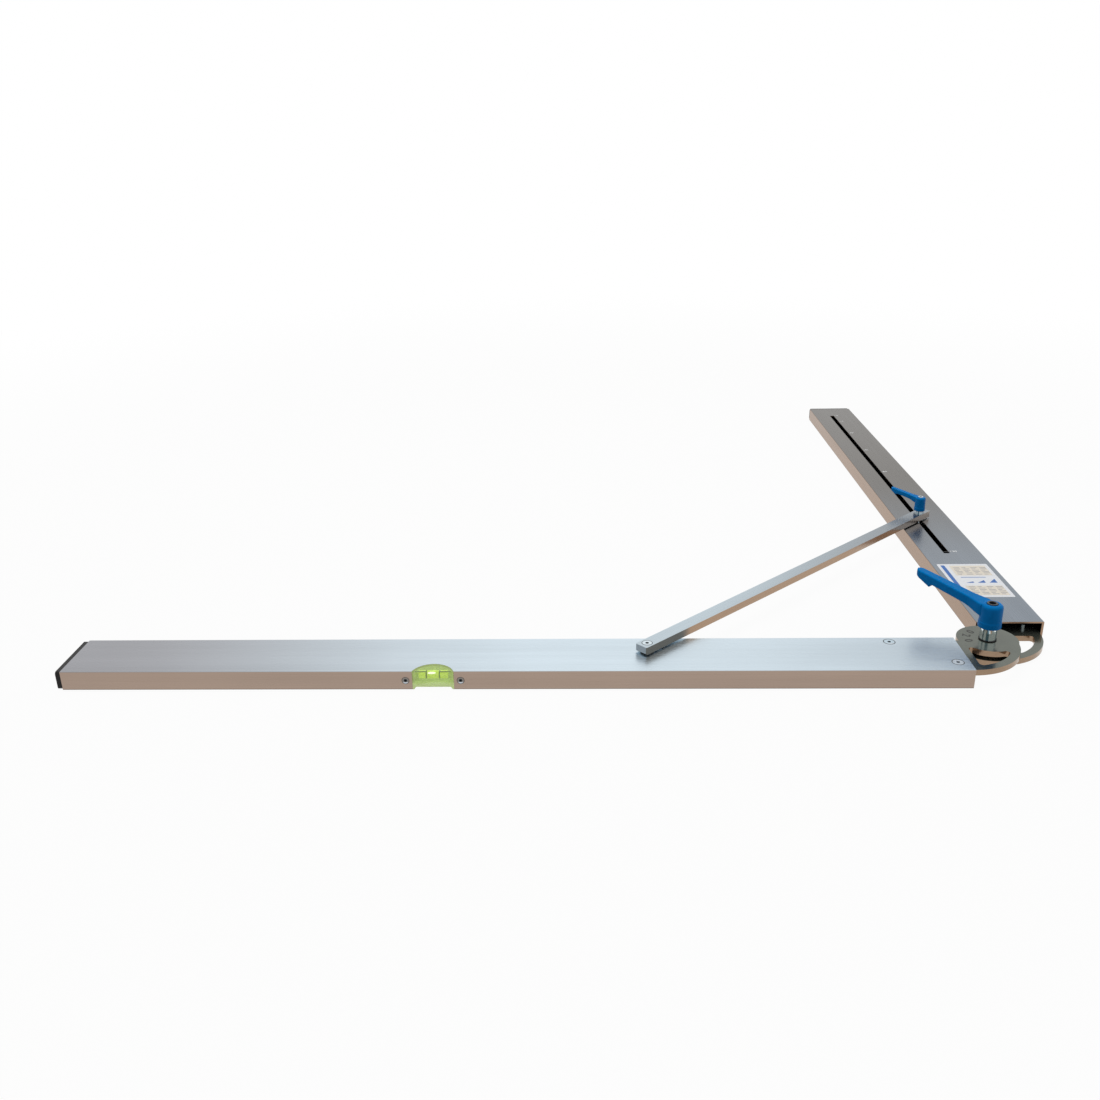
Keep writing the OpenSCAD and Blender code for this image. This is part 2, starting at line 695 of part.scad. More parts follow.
// A lever's handle: hub with a round shoulder, arm, toothed socket below and spring well above
module lever_handle(hub_d, hub_h, reach, rise, w, core_d, core_h, well_d, shank_d) {
    shoulder = hub_d * 0.16;
    root = hub_h * 0.46;
    difference() {
        union() {
            rotate_extrude() {
                square([hub_d / 2 - shoulder, hub_h]);
                square([hub_d / 2, hub_h - shoulder]);
                translate([hub_d / 2 - shoulder, hub_h - shoulder]) circle(shoulder);
            }
            lever_arm(well_d / 2 + 1.2, reach, hub_h, rise, root, root * 0.34, w, hub_d * 0.72);
        }
        translate([0, 0, -cut]) cylinder(h = core_h - teeth_h - fit_gap + cut, d = core_d + 6 * fit_gap);
        translate([0, 0, -cut]) linear_extrude(core_h + fit_gap + cut) teeth_outline(core_d, fit_gap);
        translate([0, 0, core_h]) cylinder(h = hub_h, d = shank_d + 2 * fit_gap);
        translate([0, 0, core_h + socket_t]) cylinder(h = 2 * hub_h, d = well_d + 2 * fit_gap);
    }
}

// Places a child on the hinge axis at the foot of the main lever, turned as the lever lies
module at_main_lever() {
    at_level_arm() translate([pivot_x, pivot_y, main_foot_z]) rotate(main_turn) children();
}

module at_small_lever() {
    at_clamp() translate([0, 0, small_foot_z]) rotate(small_turn) children();
}

main_core_d = main_bush_d - 1.6;
small_core_d = small_bush_d - 1.6;
main_shank_d = 5;
small_shank_d = 3.5;
main_head_h = 4;
small_head_h = 2.2;
main_head_z = main_foot_h + main_hub_h - main_head_h - 0.6;
small_head_z = small_foot_h + small_hub_h - small_head_h - 0.4;

module main_lever_bush() {
    color(STEEL) at_main_lever() lever_bush(main_bush_d, main_foot_h, main_core_d, main_core_h,
        pivot_d + 2 * run_gap, main_foot_h + 3, main_shank_d + fit_gap);
}

module main_lever_screw() {
    color(BLACK) at_main_lever() translate([0, 0, main_head_z])
        lever_screw(main_screw_d, main_head_h, main_shank_d, main_head_z - main_foot_h - 5);
}

module main_lever_spring() {
    color(STEEL) at_main_lever() coil_spring(main_foot_h + main_core_h + socket_t + fit_gap,
        main_head_z - fit_gap, main_screw_d / 2 - main_wire, main_wire, main_coils);
}

module main_lever_handle() {
    color(LEVER_BLUE) at_main_lever() translate([0, 0, main_foot_h + fit_gap])
        lever_handle(main_hub_d, main_hub_h, main_reach, main_rise, main_arm_w, main_core_d,
            main_core_h, main_screw_d, main_shank_d);
}

module small_lever_bush() {
    color(STEEL) at_small_lever() lever_bush(small_bush_d, small_foot_h, small_core_d, small_core_h,
        stud_d + 2 * run_gap, small_foot_h + 3, small_shank_d + fit_gap);
}

module small_lever_screw() {
    color(STEEL) at_small_lever() translate([0, 0, small_head_z])
        lever_screw(small_screw_d, small_head_h, small_shank_d, small_head_z - small_foot_h - 3.5);
}

module small_lever_spring() {
    color(STEEL) at_small_lever() coil_spring(small_foot_h + small_core_h + socket_t + fit_gap,
        small_head_z - fit_gap, small_screw_d / 2 - small_wire, small_wire, small_coils);
}

module small_lever_handle() {
    color(LEVER_BLUE) at_small_lever() translate([0, 0, small_foot_h + fit_gap])
        lever_handle(small_hub_d, small_hub_h, small_reach, small_rise, small_arm_w, small_core_d,
            small_core_h, small_screw_d, small_shank_d);
}

level_arm_profile();
level_arm_end_cap();
upper_hinge_plate();
upper_plate_screws();
vial_holder();
vial_block();
vial_liquid();
vial_filler_plug();
vial_screws();
strut_anchor_bush();
strut_pivot_screw();
strut_pivot_washer();
strut_bar();
hinge_spacer();
lower_hinge_plate();
lower_plate_screws();
hinge_bolt();
hinge_top_washer();
slotted_arm_profile();
slotted_arm_end_cap();
glide_pad();
slide_nut();
clamp_washer();
clamp_stud();
small_lever_bush();
small_lever_screw();
small_lever_spring();
small_lever_handle();
main_lever_bush();
main_lever_screw();
main_lever_spring();
main_lever_handle();
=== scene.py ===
"""Looks of a folding construction square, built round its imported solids."""

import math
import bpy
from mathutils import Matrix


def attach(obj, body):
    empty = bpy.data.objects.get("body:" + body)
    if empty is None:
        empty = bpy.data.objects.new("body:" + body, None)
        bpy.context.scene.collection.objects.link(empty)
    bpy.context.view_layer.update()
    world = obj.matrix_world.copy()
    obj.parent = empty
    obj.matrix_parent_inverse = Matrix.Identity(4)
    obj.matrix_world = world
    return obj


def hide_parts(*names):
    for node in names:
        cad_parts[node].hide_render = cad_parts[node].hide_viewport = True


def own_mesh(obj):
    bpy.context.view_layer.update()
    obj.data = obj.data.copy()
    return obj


bl_info = {
    "name": "Folding construction square",
    "version": (1, 0, 0),
    "blender": (4, 5, 0),
    "location": "View3D > Sidebar > Square",
    "description": "Finishes, printed marks, levers and vial of a folding square",
    "category": "Object",
}

from typing import NamedTuple

import bmesh
import bpy
from bpy.props import FloatProperty, FloatVectorProperty, IntProperty, PointerProperty
from mathutils import Matrix, Vector

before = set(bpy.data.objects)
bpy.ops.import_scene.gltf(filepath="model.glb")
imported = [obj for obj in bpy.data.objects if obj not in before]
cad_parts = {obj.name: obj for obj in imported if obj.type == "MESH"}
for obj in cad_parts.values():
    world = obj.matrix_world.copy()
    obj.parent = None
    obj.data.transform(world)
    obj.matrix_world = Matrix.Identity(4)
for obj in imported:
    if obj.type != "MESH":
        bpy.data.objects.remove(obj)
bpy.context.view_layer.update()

MM = 0.001

# The level arm's open mouth, outer edge, in the row frame: places are in millimetres from it
MOUTH = Vector((395.0, -500.0, 0.0))
# Heights of the tops of the arms, the upper plate's disc and the strut
ARM_H = 20.0
PLATE_TOP = 18.0
STRUT_TOP = 29.5
# The hinge bolt, the strut's pivot on the level arm and the slide in the slotted arm
PIVOT = (34.7, 70.3)
STRUT_PIVOT = (-311.0, 41.0)
SLIDE = (64.0, 416.0)
# Half sizes that part a tube's inner faces from its outer ones
TUBE_IN_W = 32.8
TUBE_IN_H = 8.3
# The arms' middle lines, in the row frame
LEVEL_MIDDLE = -465.0
SLOTTED_MIDDLE = 465.0
# Height of the painted contact shadow along the foot of the arms' sides
PAINTED_FOOT_SHADOW = 0.7

# Screws whose heads show: where they are and how wide their heads are
PLATE_SCREWS = ((-66.5, 60.5), (-12.0, 16.5))
PLATE_HEAD = 12.0
STRUT_HEAD = 11.0
VIAL_HEAD = 7.4
# The vial's screws stand this far from its middle, at this height
VIAL_SCREW_REACH = 27
VIAL_SCREW_Z = 10

# Thickness of print
PRINT = 0.04
# Opening angles and how far along the slotted arm the slide stands at each
ANGLES = ((0, 948.4), (15, 908.8), (30, 834.5), (45, 733.8), (60, 620.3), (90, 416.0), (120, 302.0))
# Where the marks begin, and half their width
MARK_X = 68.6
MARK_HALF = 0.25
# From a mark's end to its number's middle, as a share of the number's height
NUMBER_GAP = 0.62
# A digit's height as a share of its font's size, and how much bolder than the font it is drawn
DIGIT_SHARE = 0.7
DIGIT_BOLD = 0.022
# The line across the arm at the slot's near end
SLOT_LINE = (61.5, 300.6, 71.5, 301.4)
# Digits on the hinge disc: what each says, and its direction from the bolt in degrees
DISC_DIGITS = (("0", 190), ("2", 157), ("0", 126))
# How far they stand from the bolt, and their height
DISC_DIGIT_R = 24
DISC_DIGIT_H = 8.0

# The label's middle and thickness, how far ink reaches down into it, and its corners' radius
LABEL_MIDDLE = (69.8, 214.5)
LABEL_THICK = 0.08
INK_SINK = 0.02
LABEL_CORNER = 1.5
# The label's dashes: two lengths, one height, and the steps between rows and columns
DASH_LONG = 7.2
DASH_SHORT = 4.4
DASH_HIGH = 0.9
DASH_ROW = 3.9
DASH_COLUMN = 10

# The vial's middle along the arm, and its chamber
VIAL_X = -521.0
CHAMBER_Y = 4.6
CHAMBER_Z = 14.4
CHAMBER_R = 4.0
# The round back of its block in plan
VIAL_R = 21.1
VIAL_CENTRE_Y = -5.8
# Height of the milky foot of its block
VIAL_MILK = 4.5
# Two rings round the chamber, half their width, and the lines that run outwards from them
VIAL_LINE = 6.4
VIAL_RING_HALF = 0.6
VIAL_LINE_END = 17.5
VIAL_LINE_R = 0.5
# The dark rim of the block's round back: how far in and down it lies, its thickness and its turn
RIM_IN = 0.5
RIM_DOWN = 0.25
RIM_R = 0.22
RIM_FIRST = 20
RIM_TURN = 140
RIM_PARTS = 24
# The warm line along the block's foot: half its length, its place and its thickness
FOOT_HALF = 17
FOOT_Y = 0.5
FOOT_Z = 3.3
FOOT_R = 0.25
# The bubble's half sizes, and its middle from the chamber's; white and glowing, it is a painted highlight
BUBBLE = (4.9, 1.3, 1.3)
BUBBLE_OFF = (-1.2, -2.2, 2.3)

# Where a lever arm's wide root and its deep root end, as shares of its length
ROOT_WIDE = 0.22
ROOT_DEEP = 0.3
# Where the nub under its end begins, and how soon it is whole
NUB_START = 0.755
NUB_RISE = 0.02
# Where its tip begins to thin, over what length, and what share of its depth goes
TIP_START = 0.775
TIP_LENGTH = 0.225
TIP_THIN = 0.45
# Where the arm's sections stand, closer together at its round end
ARM_SHARES = [k * 0.02 for k in range(48)] + [0.95, 0.96, 0.97, 0.98, 0.987, 0.993, 0.997, 1.0]
# A lever hub's skirt and round shoulder, as shares of its height and radius
SKIRT = 0.24
SKIRT_OUT = 0.04
SHOULDER = 0.34
# A spring's turns, the steps in one turn, and the sides of its wire
COILS = 3.5
COIL_STEPS = 36
COIL_SIDES = 10

# The floor's radius in metres, and its tone
FLOOR_R = 14.0
FLOOR_TONE = (0.6, 0.6, 0.6, 1)
# Up to the near distance, this share of it shows plain white; past the far one, all of it does
FLOOR_WHITE = 0.955
FLOOR_NEAR = 0.7
FLOOR_FAR = 2.2
# How strongly the white room lights the square
WORLD_LIGHT = 0.34
# Each lamp's name, place, size, power and tint
LAMPS = (
    ("key", (-0.6, 0.1, 2.6), 1.8, 40.0, (1.0, 0.985, 0.96)),
    ("fill", (1.6, -0.9, 1.8), 1.8, 9.0, (0.95, 0.98, 1.0)),
)
LAMP_AIM = Vector((0.1, 0.0, 0.0))
# The camera's place and two of its directions
CAMERA_PLACE = Vector((0.02721096, -1.40960018, 0.51087116))
CAMERA_RIGHT = Vector((0.99928922, 0.03201693, -0.01989908))
CAMERA_AHEAD = Vector((-0.03712331, 0.92754235, -0.37186967))

# Tones that vary along a piece or lie beside its main one: painted shade, painted reflection and painted
# highlights, and last the vial's see-through tint
# Painted shade on the faces inside the arms' tubes
TUBE_INSIDE_PAINTED_SHADE = (0.012, 0.013, 0.016)
# Painted reflection along the level arm: its top darker at the capped end and at the mouth
LEVEL_CAP_END_PAINTED_REFLECTION = (0.335, 0.338, 0.36)
LEVEL_MOUTH_END_PAINTED_REFLECTION = (0.50, 0.58, 0.64)
# Painted reflection: the slotted arm's top brighter towards the hinge
SLOTTED_MOUTH_END_PAINTED_REFLECTION = (0.212, 0.245, 0.285)
# Painted reflection: a warm tan on the slotted arm's narrow sides, as a tan floor would show in them
SLOTTED_SIDE_PAINTED_REFLECTION = (0.335, 0.22, 0.145)
# Painted reflection: the strut's top darker towards its clamp
STRUT_CLAMP_END_PAINTED_REFLECTION = (0.25, 0.28, 0.305)
# Painted light on the strut's narrow sides: a warm painted reflection, painted shade beside the pivot, a
# pale painted reflection by the clamp and a grey painted reflection on the end face
STRUT_SIDE_PAINTED_REFLECTION = (0.41, 0.28, 0.19)
STRUT_SIDE_SHADED = (0.17, 0.155, 0.135)
STRUT_SIDE_PALE_PAINTED_REFLECTION = (0.58, 0.50, 0.44)
STRUT_END_FACE_PAINTED_REFLECTION = (0.34, 0.36, 0.38)
# Painted reflection in the ground bushes: dark and bright streaks round the axis
BUSH_PAINTED_REFLECTION_DARK = (0.16, 0.27, 0.33)
BUSH_PAINTED_REFLECTION_BRIGHT = (0.90, 0.98, 1.0)
# Screw heads: a painted lit colour, painted shade in the socket and a painted shadow in the gap round the
# rim
HEAD_LIT = (0.60, 0.66, 0.71)
HEAD_SOCKET_PAINTED_SHADE = (0.045, 0.05, 0.055)
HEAD_GAP_PAINTED_SHADOW = (0.04, 0.04, 0.04)
VIAL_VEIL = (0.95, 0.98, 0.86, 1.0)

# A noise's middle values, between which most of its surface lies
NOISE_LOW = 0.3
NOISE_HIGH = 0.7


def at(x, y, z=0.0):
    """A point given in millimetres from the level arm's mouth, in the row frame."""
    return (Vector((x, y, z)) + MOUTH) * MM


class SquareColours(bpy.types.PropertyGroup):
    """Colours of the square's finishes, some of them carrying painted reflection"""

    # Painted reflection: a bright bluish tone on the level arm's flat faces, though the slotted arm is the
    # same aluminium
    level_top: FloatVectorProperty(
        name="Level arm top", description="Tone of the level arm's flat faces",
        subtype="COLOR", size=3, default=(0.648, 0.748, 0.815))
    # Painted reflection: a dark tone on the slotted arm's flat faces, though the level arm is the same
    # aluminium
    slotted_top: FloatVectorProperty(
        name="Slotted arm top", description="Tone of the slotted arm's flat faces",
        subtype="COLOR", size=3, default=(0.122, 0.112, 0.10))
    # Painted reflection: a warm tan on the arms' narrow sides, as a tan floor would show in them
    arm_side: FloatVectorProperty(
        name="Arm sides", description="Tone of the arms' narrow sides",
        subtype="COLOR", size=3, default=(0.375, 0.285, 0.23))
    # Painted reflection: a bright bluish tone on the strut's flat faces, as on the level arm
    strut: FloatVectorProperty(
        name="Strut", description="Tone of the strut's flat faces at its pivot",
        subtype="COLOR", size=3, default=(0.53, 0.62, 0.675))
    plate: FloatVectorProperty(
        name="Hinge plates", description="Tone of the plated hinge",
        subtype="COLOR", size=3, default=(0.122, 0.134, 0.112))
    # Painted reflection: a warm tan on the hinge plates' cut edges, as a tan floor would show in them
    plate_rim: FloatVectorProperty(
        name="Plate rims", description="Tone of the hinge plates' cut edges",
        subtype="COLOR", size=3, default=(0.352, 0.24, 0.158))
    lever: FloatVectorProperty(
        name="Levers", description="Coat of the clamping levers",
        subtype="COLOR", size=3, default=(0.0, 0.172, 0.50))
    fluid: FloatVectorProperty(
        name="Vial fluid", description="Tint of the vial",
        subtype="COLOR", size=3, default=(0.58, 0.72, 0.02))
    print_pale: FloatVectorProperty(
        name="Scale print", description="Tone of the angle marks and numbers",
        subtype="COLOR", size=3, default=(0.85, 0.87, 0.88))
    print_dark: FloatVectorProperty(
        name="Dark print", description="Tone of the scribed line and the engraved digits",
        subtype="COLOR", size=3, default=(0.03, 0.028, 0.025))
    label_blue: FloatVectorProperty(
        name="Label blue", description="Strip along the label",
        subtype="COLOR", size=3, default=(0.0, 0.11, 0.42))
    label_cream: FloatVectorProperty(
        name="Label cream", description="Bands on the label",
        subtype="COLOR", size=3, default=(0.78, 0.72, 0.62))


class SquareSizes(bpy.types.PropertyGroup):
    """Sizes of the printed marks and of the stage"""

    digit: FloatProperty(
        name="Scale digits", description="Height of the angle numbers",
        subtype="DISTANCE", unit="LENGTH", default=0.0042)
    tick: FloatProperty(
        name="Scale marks", description="Length of the angle marks",
        subtype="DISTANCE", unit="LENGTH", default=0.0020)
    label_width: FloatProperty(
        name="Label width", description="Width of the label across the arm",
        subtype="DISTANCE", unit="LENGTH", default=0.058)
    label_length: FloatProperty(
        name="Label length", description="Length of the label along the arm",
        subtype="DISTANCE", unit="LENGTH", default=0.094)
    label_rows: IntProperty(
        name="Label rows", description="Rows of dashes in each band", default=6)
    lens: FloatProperty(
        name="Lens", description="Focal length of the camera", subtype="DISTANCE_CAMERA",
        unit="CAMERA", default=34.78)


def colours():
    """The colours that the panel shows."""
    return bpy.context.scene.square_colours


def sizes():
    """The sizes that the panel shows."""
    return bpy.context.scene.square_sizes


class Nodes:
    """Builds one material's nodes in short calls."""

    def __init__(self, name):
        self.material = bpy.data.materials.new(name)
        self.material.use_nodes = True
        self.tree = self.material.node_tree
        self.tree.nodes.clear()
        self.out = self.add("ShaderNodeOutputMaterial")
        self.bsdf = self.add("ShaderNodeBsdfPrincipled")
        self.tree.links.new(self.bsdf.outputs[0], self.out.inputs["Surface"])

    def add(self, kind, **values):
        """A new node with its settings."""
        node = self.tree.nodes.new(kind)
        for key, value in values.items():
            setattr(node, key, value)
        return node

    def link(self, source, target):
        """Join one node's output to another's input."""
        self.tree.links.new(source, target)

    def put(self, target, value):
        """Give an input a plain value or another node's output."""
        if isinstance(value, bpy.types.NodeSocket):
            self.link(value, target)
        else:
            target.default_value = value

    def surface(self, **values):
        """Set the finish's sockets, and give the finished material."""
        names = {"colour": "Base Color", "rough": "Roughness", "metal": "Metallic", "normal": "Normal",
                 "specular": "Specular IOR Level", "glow": "Emission Color",
                 "glow_strength": "Emission Strength"}
        for key, value in values.items():
            self.put(self.bsdf.inputs[names[key]], value)
        return self.material

    def place(self, scale=(1, 1, 1), turn=0.0):
        """Object coordinates, turned about Z and then scaled."""
        coord = self.add("ShaderNodeTexCoord")
        turned = self.add("ShaderNodeMapping")
        turned.inputs["Rotation"].default_value = (0, 0, turn)
        stretched = self.add("ShaderNodeMapping")
        stretched.inputs["Scale"].default_value = scale
        self.link(coord.outputs["Object"], turned.inputs["Vector"])
        self.link(turned.outputs[0], stretched.inputs["Vector"])
        return stretched.outputs[0]

    def noise(self, vector, detail):
        """Soft grain over a vector that is already scaled."""
        node = self.add("ShaderNodeTexNoise")
        node.inputs["Scale"].default_value = 1.0
        node.inputs["Detail"].default_value = detail
        self.link(vector, node.inputs["Vector"])
        return node.outputs["Fac"]

    def range(self, value, low, high, to_low, to_high, smooth=False):
        """A value carried from one range over to another."""
        node = self.add("ShaderNodeMapRange")
        if smooth:
            node.interpolation_type = "SMOOTHSTEP"
        for name, number in (("From Min", low), ("From Max", high), ("To Min", to_low), ("To Max", to_high)):
            node.inputs[name].default_value = number
        self.link(value, node.inputs["Value"])
        return node.outputs["Result"]

    def step(self, value, low, high):
        """0 below one value, 1 above the other, with a smooth rise between."""
        return self.range(value, low, high, 0.0, 1.0, True)

    def vary(self, noise, low, high):
        """A factor that follows a noise between two values."""
        return self.range(noise, NOISE_LOW, NOISE_HIGH, low, high)

    def math(self, kind, a, b=0.0):
        """The outcome of one math node on one or two values."""
        node = self.add("ShaderNodeMath", operation=kind)
        self.put(node.inputs[0], a)
        self.put(node.inputs[1], b)
        return node.outputs[0]

    def length(self, a, b):
        """How far from the middle a point lies, given its two coordinates."""
        squares = [self.math("MULTIPLY", side, side) for side in (a, b)]
        return self.math("SQRT", self.math("ADD", *squares))

    def mix(self, share, a, b, blend="MIX"):
        """Two colours blended. The node's sockets go by number, since its names repeat for each type."""
        node = self.add("ShaderNodeMix", data_type="RGBA", blend_type=blend)
        self.put(node.inputs[0], share)
        for target, value in ((node.inputs[6], a), (node.inputs[7], b)):
            if not isinstance(value, bpy.types.NodeSocket):
                value = (*value[:3], 1.0)
            self.put(target, value)
        return node.outputs[2]

    def split(self, vector):
        """The three parts of a vector."""
        node = self.add("ShaderNodeSeparateXYZ")
        self.link(vector, node.inputs[0])
        return node.outputs

    def coordinate(self, name="Object"):
        """The three parts of a place or of a face's direction."""
        return self.split(self.add("ShaderNodeTexCoord").outputs[name])

    def bump(self, height, strength, distance):
        """A surface direction that follows a height."""
        node = self.add("ShaderNodeBump")
        node.inputs["Strength"].default_value = strength
        node.inputs["Distance"].default_value = distance
        self.link(height, node.inputs["Height"])
        return node.outputs[0]

    def shade(self, colour, factor):
        """A colour multiplied by a grey factor."""
        grey = self.add("ShaderNodeCombineColor")
        for socket in grey.inputs:
            self.link(factor, socket)
        return self.mix(1.0, colour, grey.outputs[0], "MULTIPLY")


def hollow(n, across, middle):
    """1 on the faces inside an arm's tube, 0 outside it."""
    position = n.coordinate()
    aside = n.math("ABSOLUTE", n.math("SUBTRACT", position[across], middle))
    above = n.math("ABSOLUTE", n.math("SUBTRACT", position[2], ARM_H / 2 * MM))
    return n.math("MULTIPLY", n.math("LESS_THAN", aside, TUBE_IN_W * MM),
                  n.math("LESS_THAN", above, TUBE_IN_H * MM))


def brushed(name, flat, side, turn, rough, painted_reflection=None, inside=None):
    """Extruded aluminium: fine streaks along the bar, a warm painted reflection on the narrow sides and
    painted shade on the rounded edges; on the arms also painted shade along the foot of the sides and inside
    the tube.
    """
    n = Nodes(name)
    up = n.math("ABSOLUTE", n.coordinate("Normal")[2])
    fine = n.noise(n.place((6, 1400, 1400), turn), detail=3)
    broad = n.noise(n.place((1.6, 60, 60), turn), detail=2)
    cloud = n.noise(n.place((7, 7, 7), turn), detail=3)
    streaks = n.math("MULTIPLY", n.vary(fine, 0.955, 1.04), n.vary(broad, 0.96, 1.03))
    tone = n.math("MULTIPLY", streaks, n.range(cloud, 0.35, 0.65, 0.975, 1.02))
    # Painted shade where the flat faces round over into the sides; the flat tone may carry a painted
    # reflection along the piece
    base = n.shade(painted_reflection(n, flat) if painted_reflection else flat, n.range(up, 0.80, 0.99, 0.70, 1.0, True))
    if callable(side):
        side = side(n)
    # Painted contact shadow along the foot of the arms' sides
    foot = n.range(n.coordinate()[2], PAINTED_FOOT_SHADOW * MM, 2 * PAINTED_FOOT_SHADOW * MM, 0.55, 1.0, True)
    side = n.shade(side, foot) if inside else side
    # The narrow sides take the side tone, a painted reflection
    colour = n.shade(n.mix(n.step(up, 0.35, 0.8), side, base), tone)
    # Painted shade on the faces inside the tube
    if inside:
        colour = n.mix(hollow(n, *inside), colour, TUBE_INSIDE_PAINTED_SHADE)
    return n.surface(colour=colour, metal=1.0, rough=n.vary(fine, rough - 0.05, rough + 0.06),
                     normal=n.bump(fine, 0.12, 0.0001))


def level_fade(n, flat):
    """Painted reflection: the level arm's top is darker towards its capped end and at its mouth."""
    x = n.coordinate()[0]
    far = n.step(x, -0.47, -0.02)
    near = n.step(x, 0.12, 0.42)
    base = n.mix(far, LEVEL_CAP_END_PAINTED_REFLECTION, flat)
    return n.mix(near, base, LEVEL_MOUTH_END_PAINTED_REFLECTION)


def slotted_fade(n, flat):
    """Painted reflection: the slotted arm's top is brighter near the hinge."""
    y = n.coordinate()[1]
    return n.mix(n.step(y, -0.30, 0.10), SLOTTED_MOUTH_END_PAINTED_REFLECTION, flat)


def strut_fade(n, flat):
    """Painted reflection: the strut's top is darker towards its clamp."""
    return n.mix(n.step(n.coordinate()[0], 0.10, 0.45), flat, STRUT_CLAMP_END_PAINTED_REFLECTION)


def strut_side(n):
    """Painted light on the strut's narrow sides: painted shade beside its pivot, a warm painted reflection
    further on, a pale painted reflection by its clamp, a grey painted reflection on its end face.
    """
    x = n.coordinate()[0]
    warm = n.mix(n.step(x, 0.33, 0.42), STRUT_SIDE_PAINTED_REFLECTION, STRUT_SIDE_PALE_PAINTED_REFLECTION)
    long_side = n.mix(n.step(x, 0.122, 0.132), STRUT_SIDE_SHADED, warm)
    end = n.range(n.coordinate("Normal")[0], -0.4, 0.0, 1.0, 0.0, True)
    return n.mix(end, long_side, STRUT_END_FACE_PAINTED_REFLECTION)


def plated(name, flat, rim):
    """Bright zinc plate over steel sheet, with a warm painted reflection on its cut edges."""
    n = Nodes(name)
    up = n.math("ABSOLUTE", n.coordinate("Normal")[2])
    cloud = n.noise(n.place((60, 60, 60)), detail=3)
    grain = n.noise(n.place((900, 900, 900)), detail=2)
    tone = n.math("MULTIPLY", n.vary(cloud, 0.93, 1.06), n.vary(grain, 0.96, 1.04))
    # The cut edges take the rim tone, a painted reflection
    colour = n.mix(n.step(up, 0.4, 0.8), rim, flat)
    return n.surface(colour=n.shade(colour, tone), metal=0.75, rough=n.vary(cloud, 0.14, 0.24),
                     normal=n.bump(grain, 0.1, 0.00008))


def turned(name, tone, rough):
    """Turned steel: fine rings and light handling marks."""
    n = Nodes(name)
    z = n.coordinate()[2]
    rings = n.math("SINE", n.math("MULTIPLY", z, 14000.0))
    marks = n.noise(n.place((300, 300, 300)), detail=3)
    factor = n.vary(marks, 0.94, 1.05)
    return n.surface(colour=n.shade(tone, factor), metal=1.0,
                     rough=n.vary(marks, rough - 0.04, rough + 0.05), normal=n.bump(rings, 0.05, 0.00004))


def polished(name, centre):
    """A ground steel bush: light and dark streaks of painted reflection round its axis, as a bright room
    shows in it.
    """
    n = Nodes(name)
    place = n.coordinate()
    middle = at(*centre)
    round_it = n.math("ARCTAN2", n.math("SUBTRACT", place[1], middle.y),
                      n.math("SUBTRACT", place[0], middle.x))
    narrow = n.math("SINE", n.math("MULTIPLY", round_it, 7.0))
    broad = n.math("SINE", n.math("ADD", n.math("MULTIPLY", round_it, 3.0), 0.9))
    # Painted reflection: streaks round the bush's axis
    reflection_streak = n.math("MULTIPLY", narrow, broad)
    wear = n.noise(n.place((400, 400, 400)), detail=2)
    colour = n.mix(n.step(reflection_streak, -0.5, 0.0), BUSH_PAINTED_REFLECTION_DARK, BUSH_PAINTED_REFLECTION_BRIGHT)
    return n.surface(colour=n.shade(colour, n.vary(wear, 0.95, 1.04)), metal=1.0,
                     rough=n.vary(wear, 0.10, 0.18), normal=n.bump(wear, 0.05, 0.00002))


def socket_head(name, centres, axes, head, socket, shaded):
    """Screw heads: painted shade in the socket, a bright face with a painted lit lower half, a painted
    shadow in the gap round the rim.

    The axes are the two that the heads' faces lie in, and the socket is a share of the head's width.
    """
    n = Nodes(name)
    place = n.coordinate()
    reach = None
    for centre in centres:
        far = n.length(*(n.math("SUBTRACT", place[axis], centre[axis]) for axis in axes))
        reach = n.math("MINIMUM", reach, far) if reach else far
    side = n.math("SUBTRACT", place[axes[1]], centres[0][axes[1]])
    lit = n.range(side, -0.36 * head, -0.16 * head, 1.0, 0.0, True)
    # Painted shade in the socket and a painted shadow in the gap round the rim
    inner = n.step(reach, (socket - 0.03) * head, (socket + 0.03) * head)
    outer = n.step(reach, 0.41 * head, 0.47 * head)
    face = n.mix(inner, HEAD_SOCKET_PAINTED_SHADE, n.mix(lit, shaded, HEAD_LIT))
    grain = n.noise(n.place((900, 900, 900)), detail=2)
    return n.surface(colour=n.shade(n.mix(outer, face, HEAD_GAP_PAINTED_SHADOW), n.vary(grain, 0.93, 1.05)), metal=1.0,
                     rough=n.vary(grain, 0.34, 0.44), normal=n.bump(grain, 0.1, 0.00004))


def moulded(name, tone, rough, grain_size, depth, shine=0.5, flank_painted_shade=1.0):
    """Moulded plastic or a powder coat with a fine skin, with painted shade on its flanks where that is
    asked.
    """
    n = Nodes(name)
    skin = n.noise(n.place((grain_size,) * 3), detail=3)
    wear = n.noise(n.place((120, 120, 120)), detail=2)
    tint = n.vary(wear, 0.94, 1.06)
    # Painted shade on the flanks, by how far a face turns from the top
    if flank_painted_shade < 1:
        tint = n.math("MULTIPLY", tint, n.range(n.coordinate("Normal")[2], 0.3, 0.9, flank_painted_shade, 1.0, True))
    return n.surface(colour=n.shade(tone, tint), metal=0.0,
                     rough=n.vary(skin, rough - 0.06, rough + 0.08), specular=shine,
                     normal=n.bump(skin, 0.25, depth))


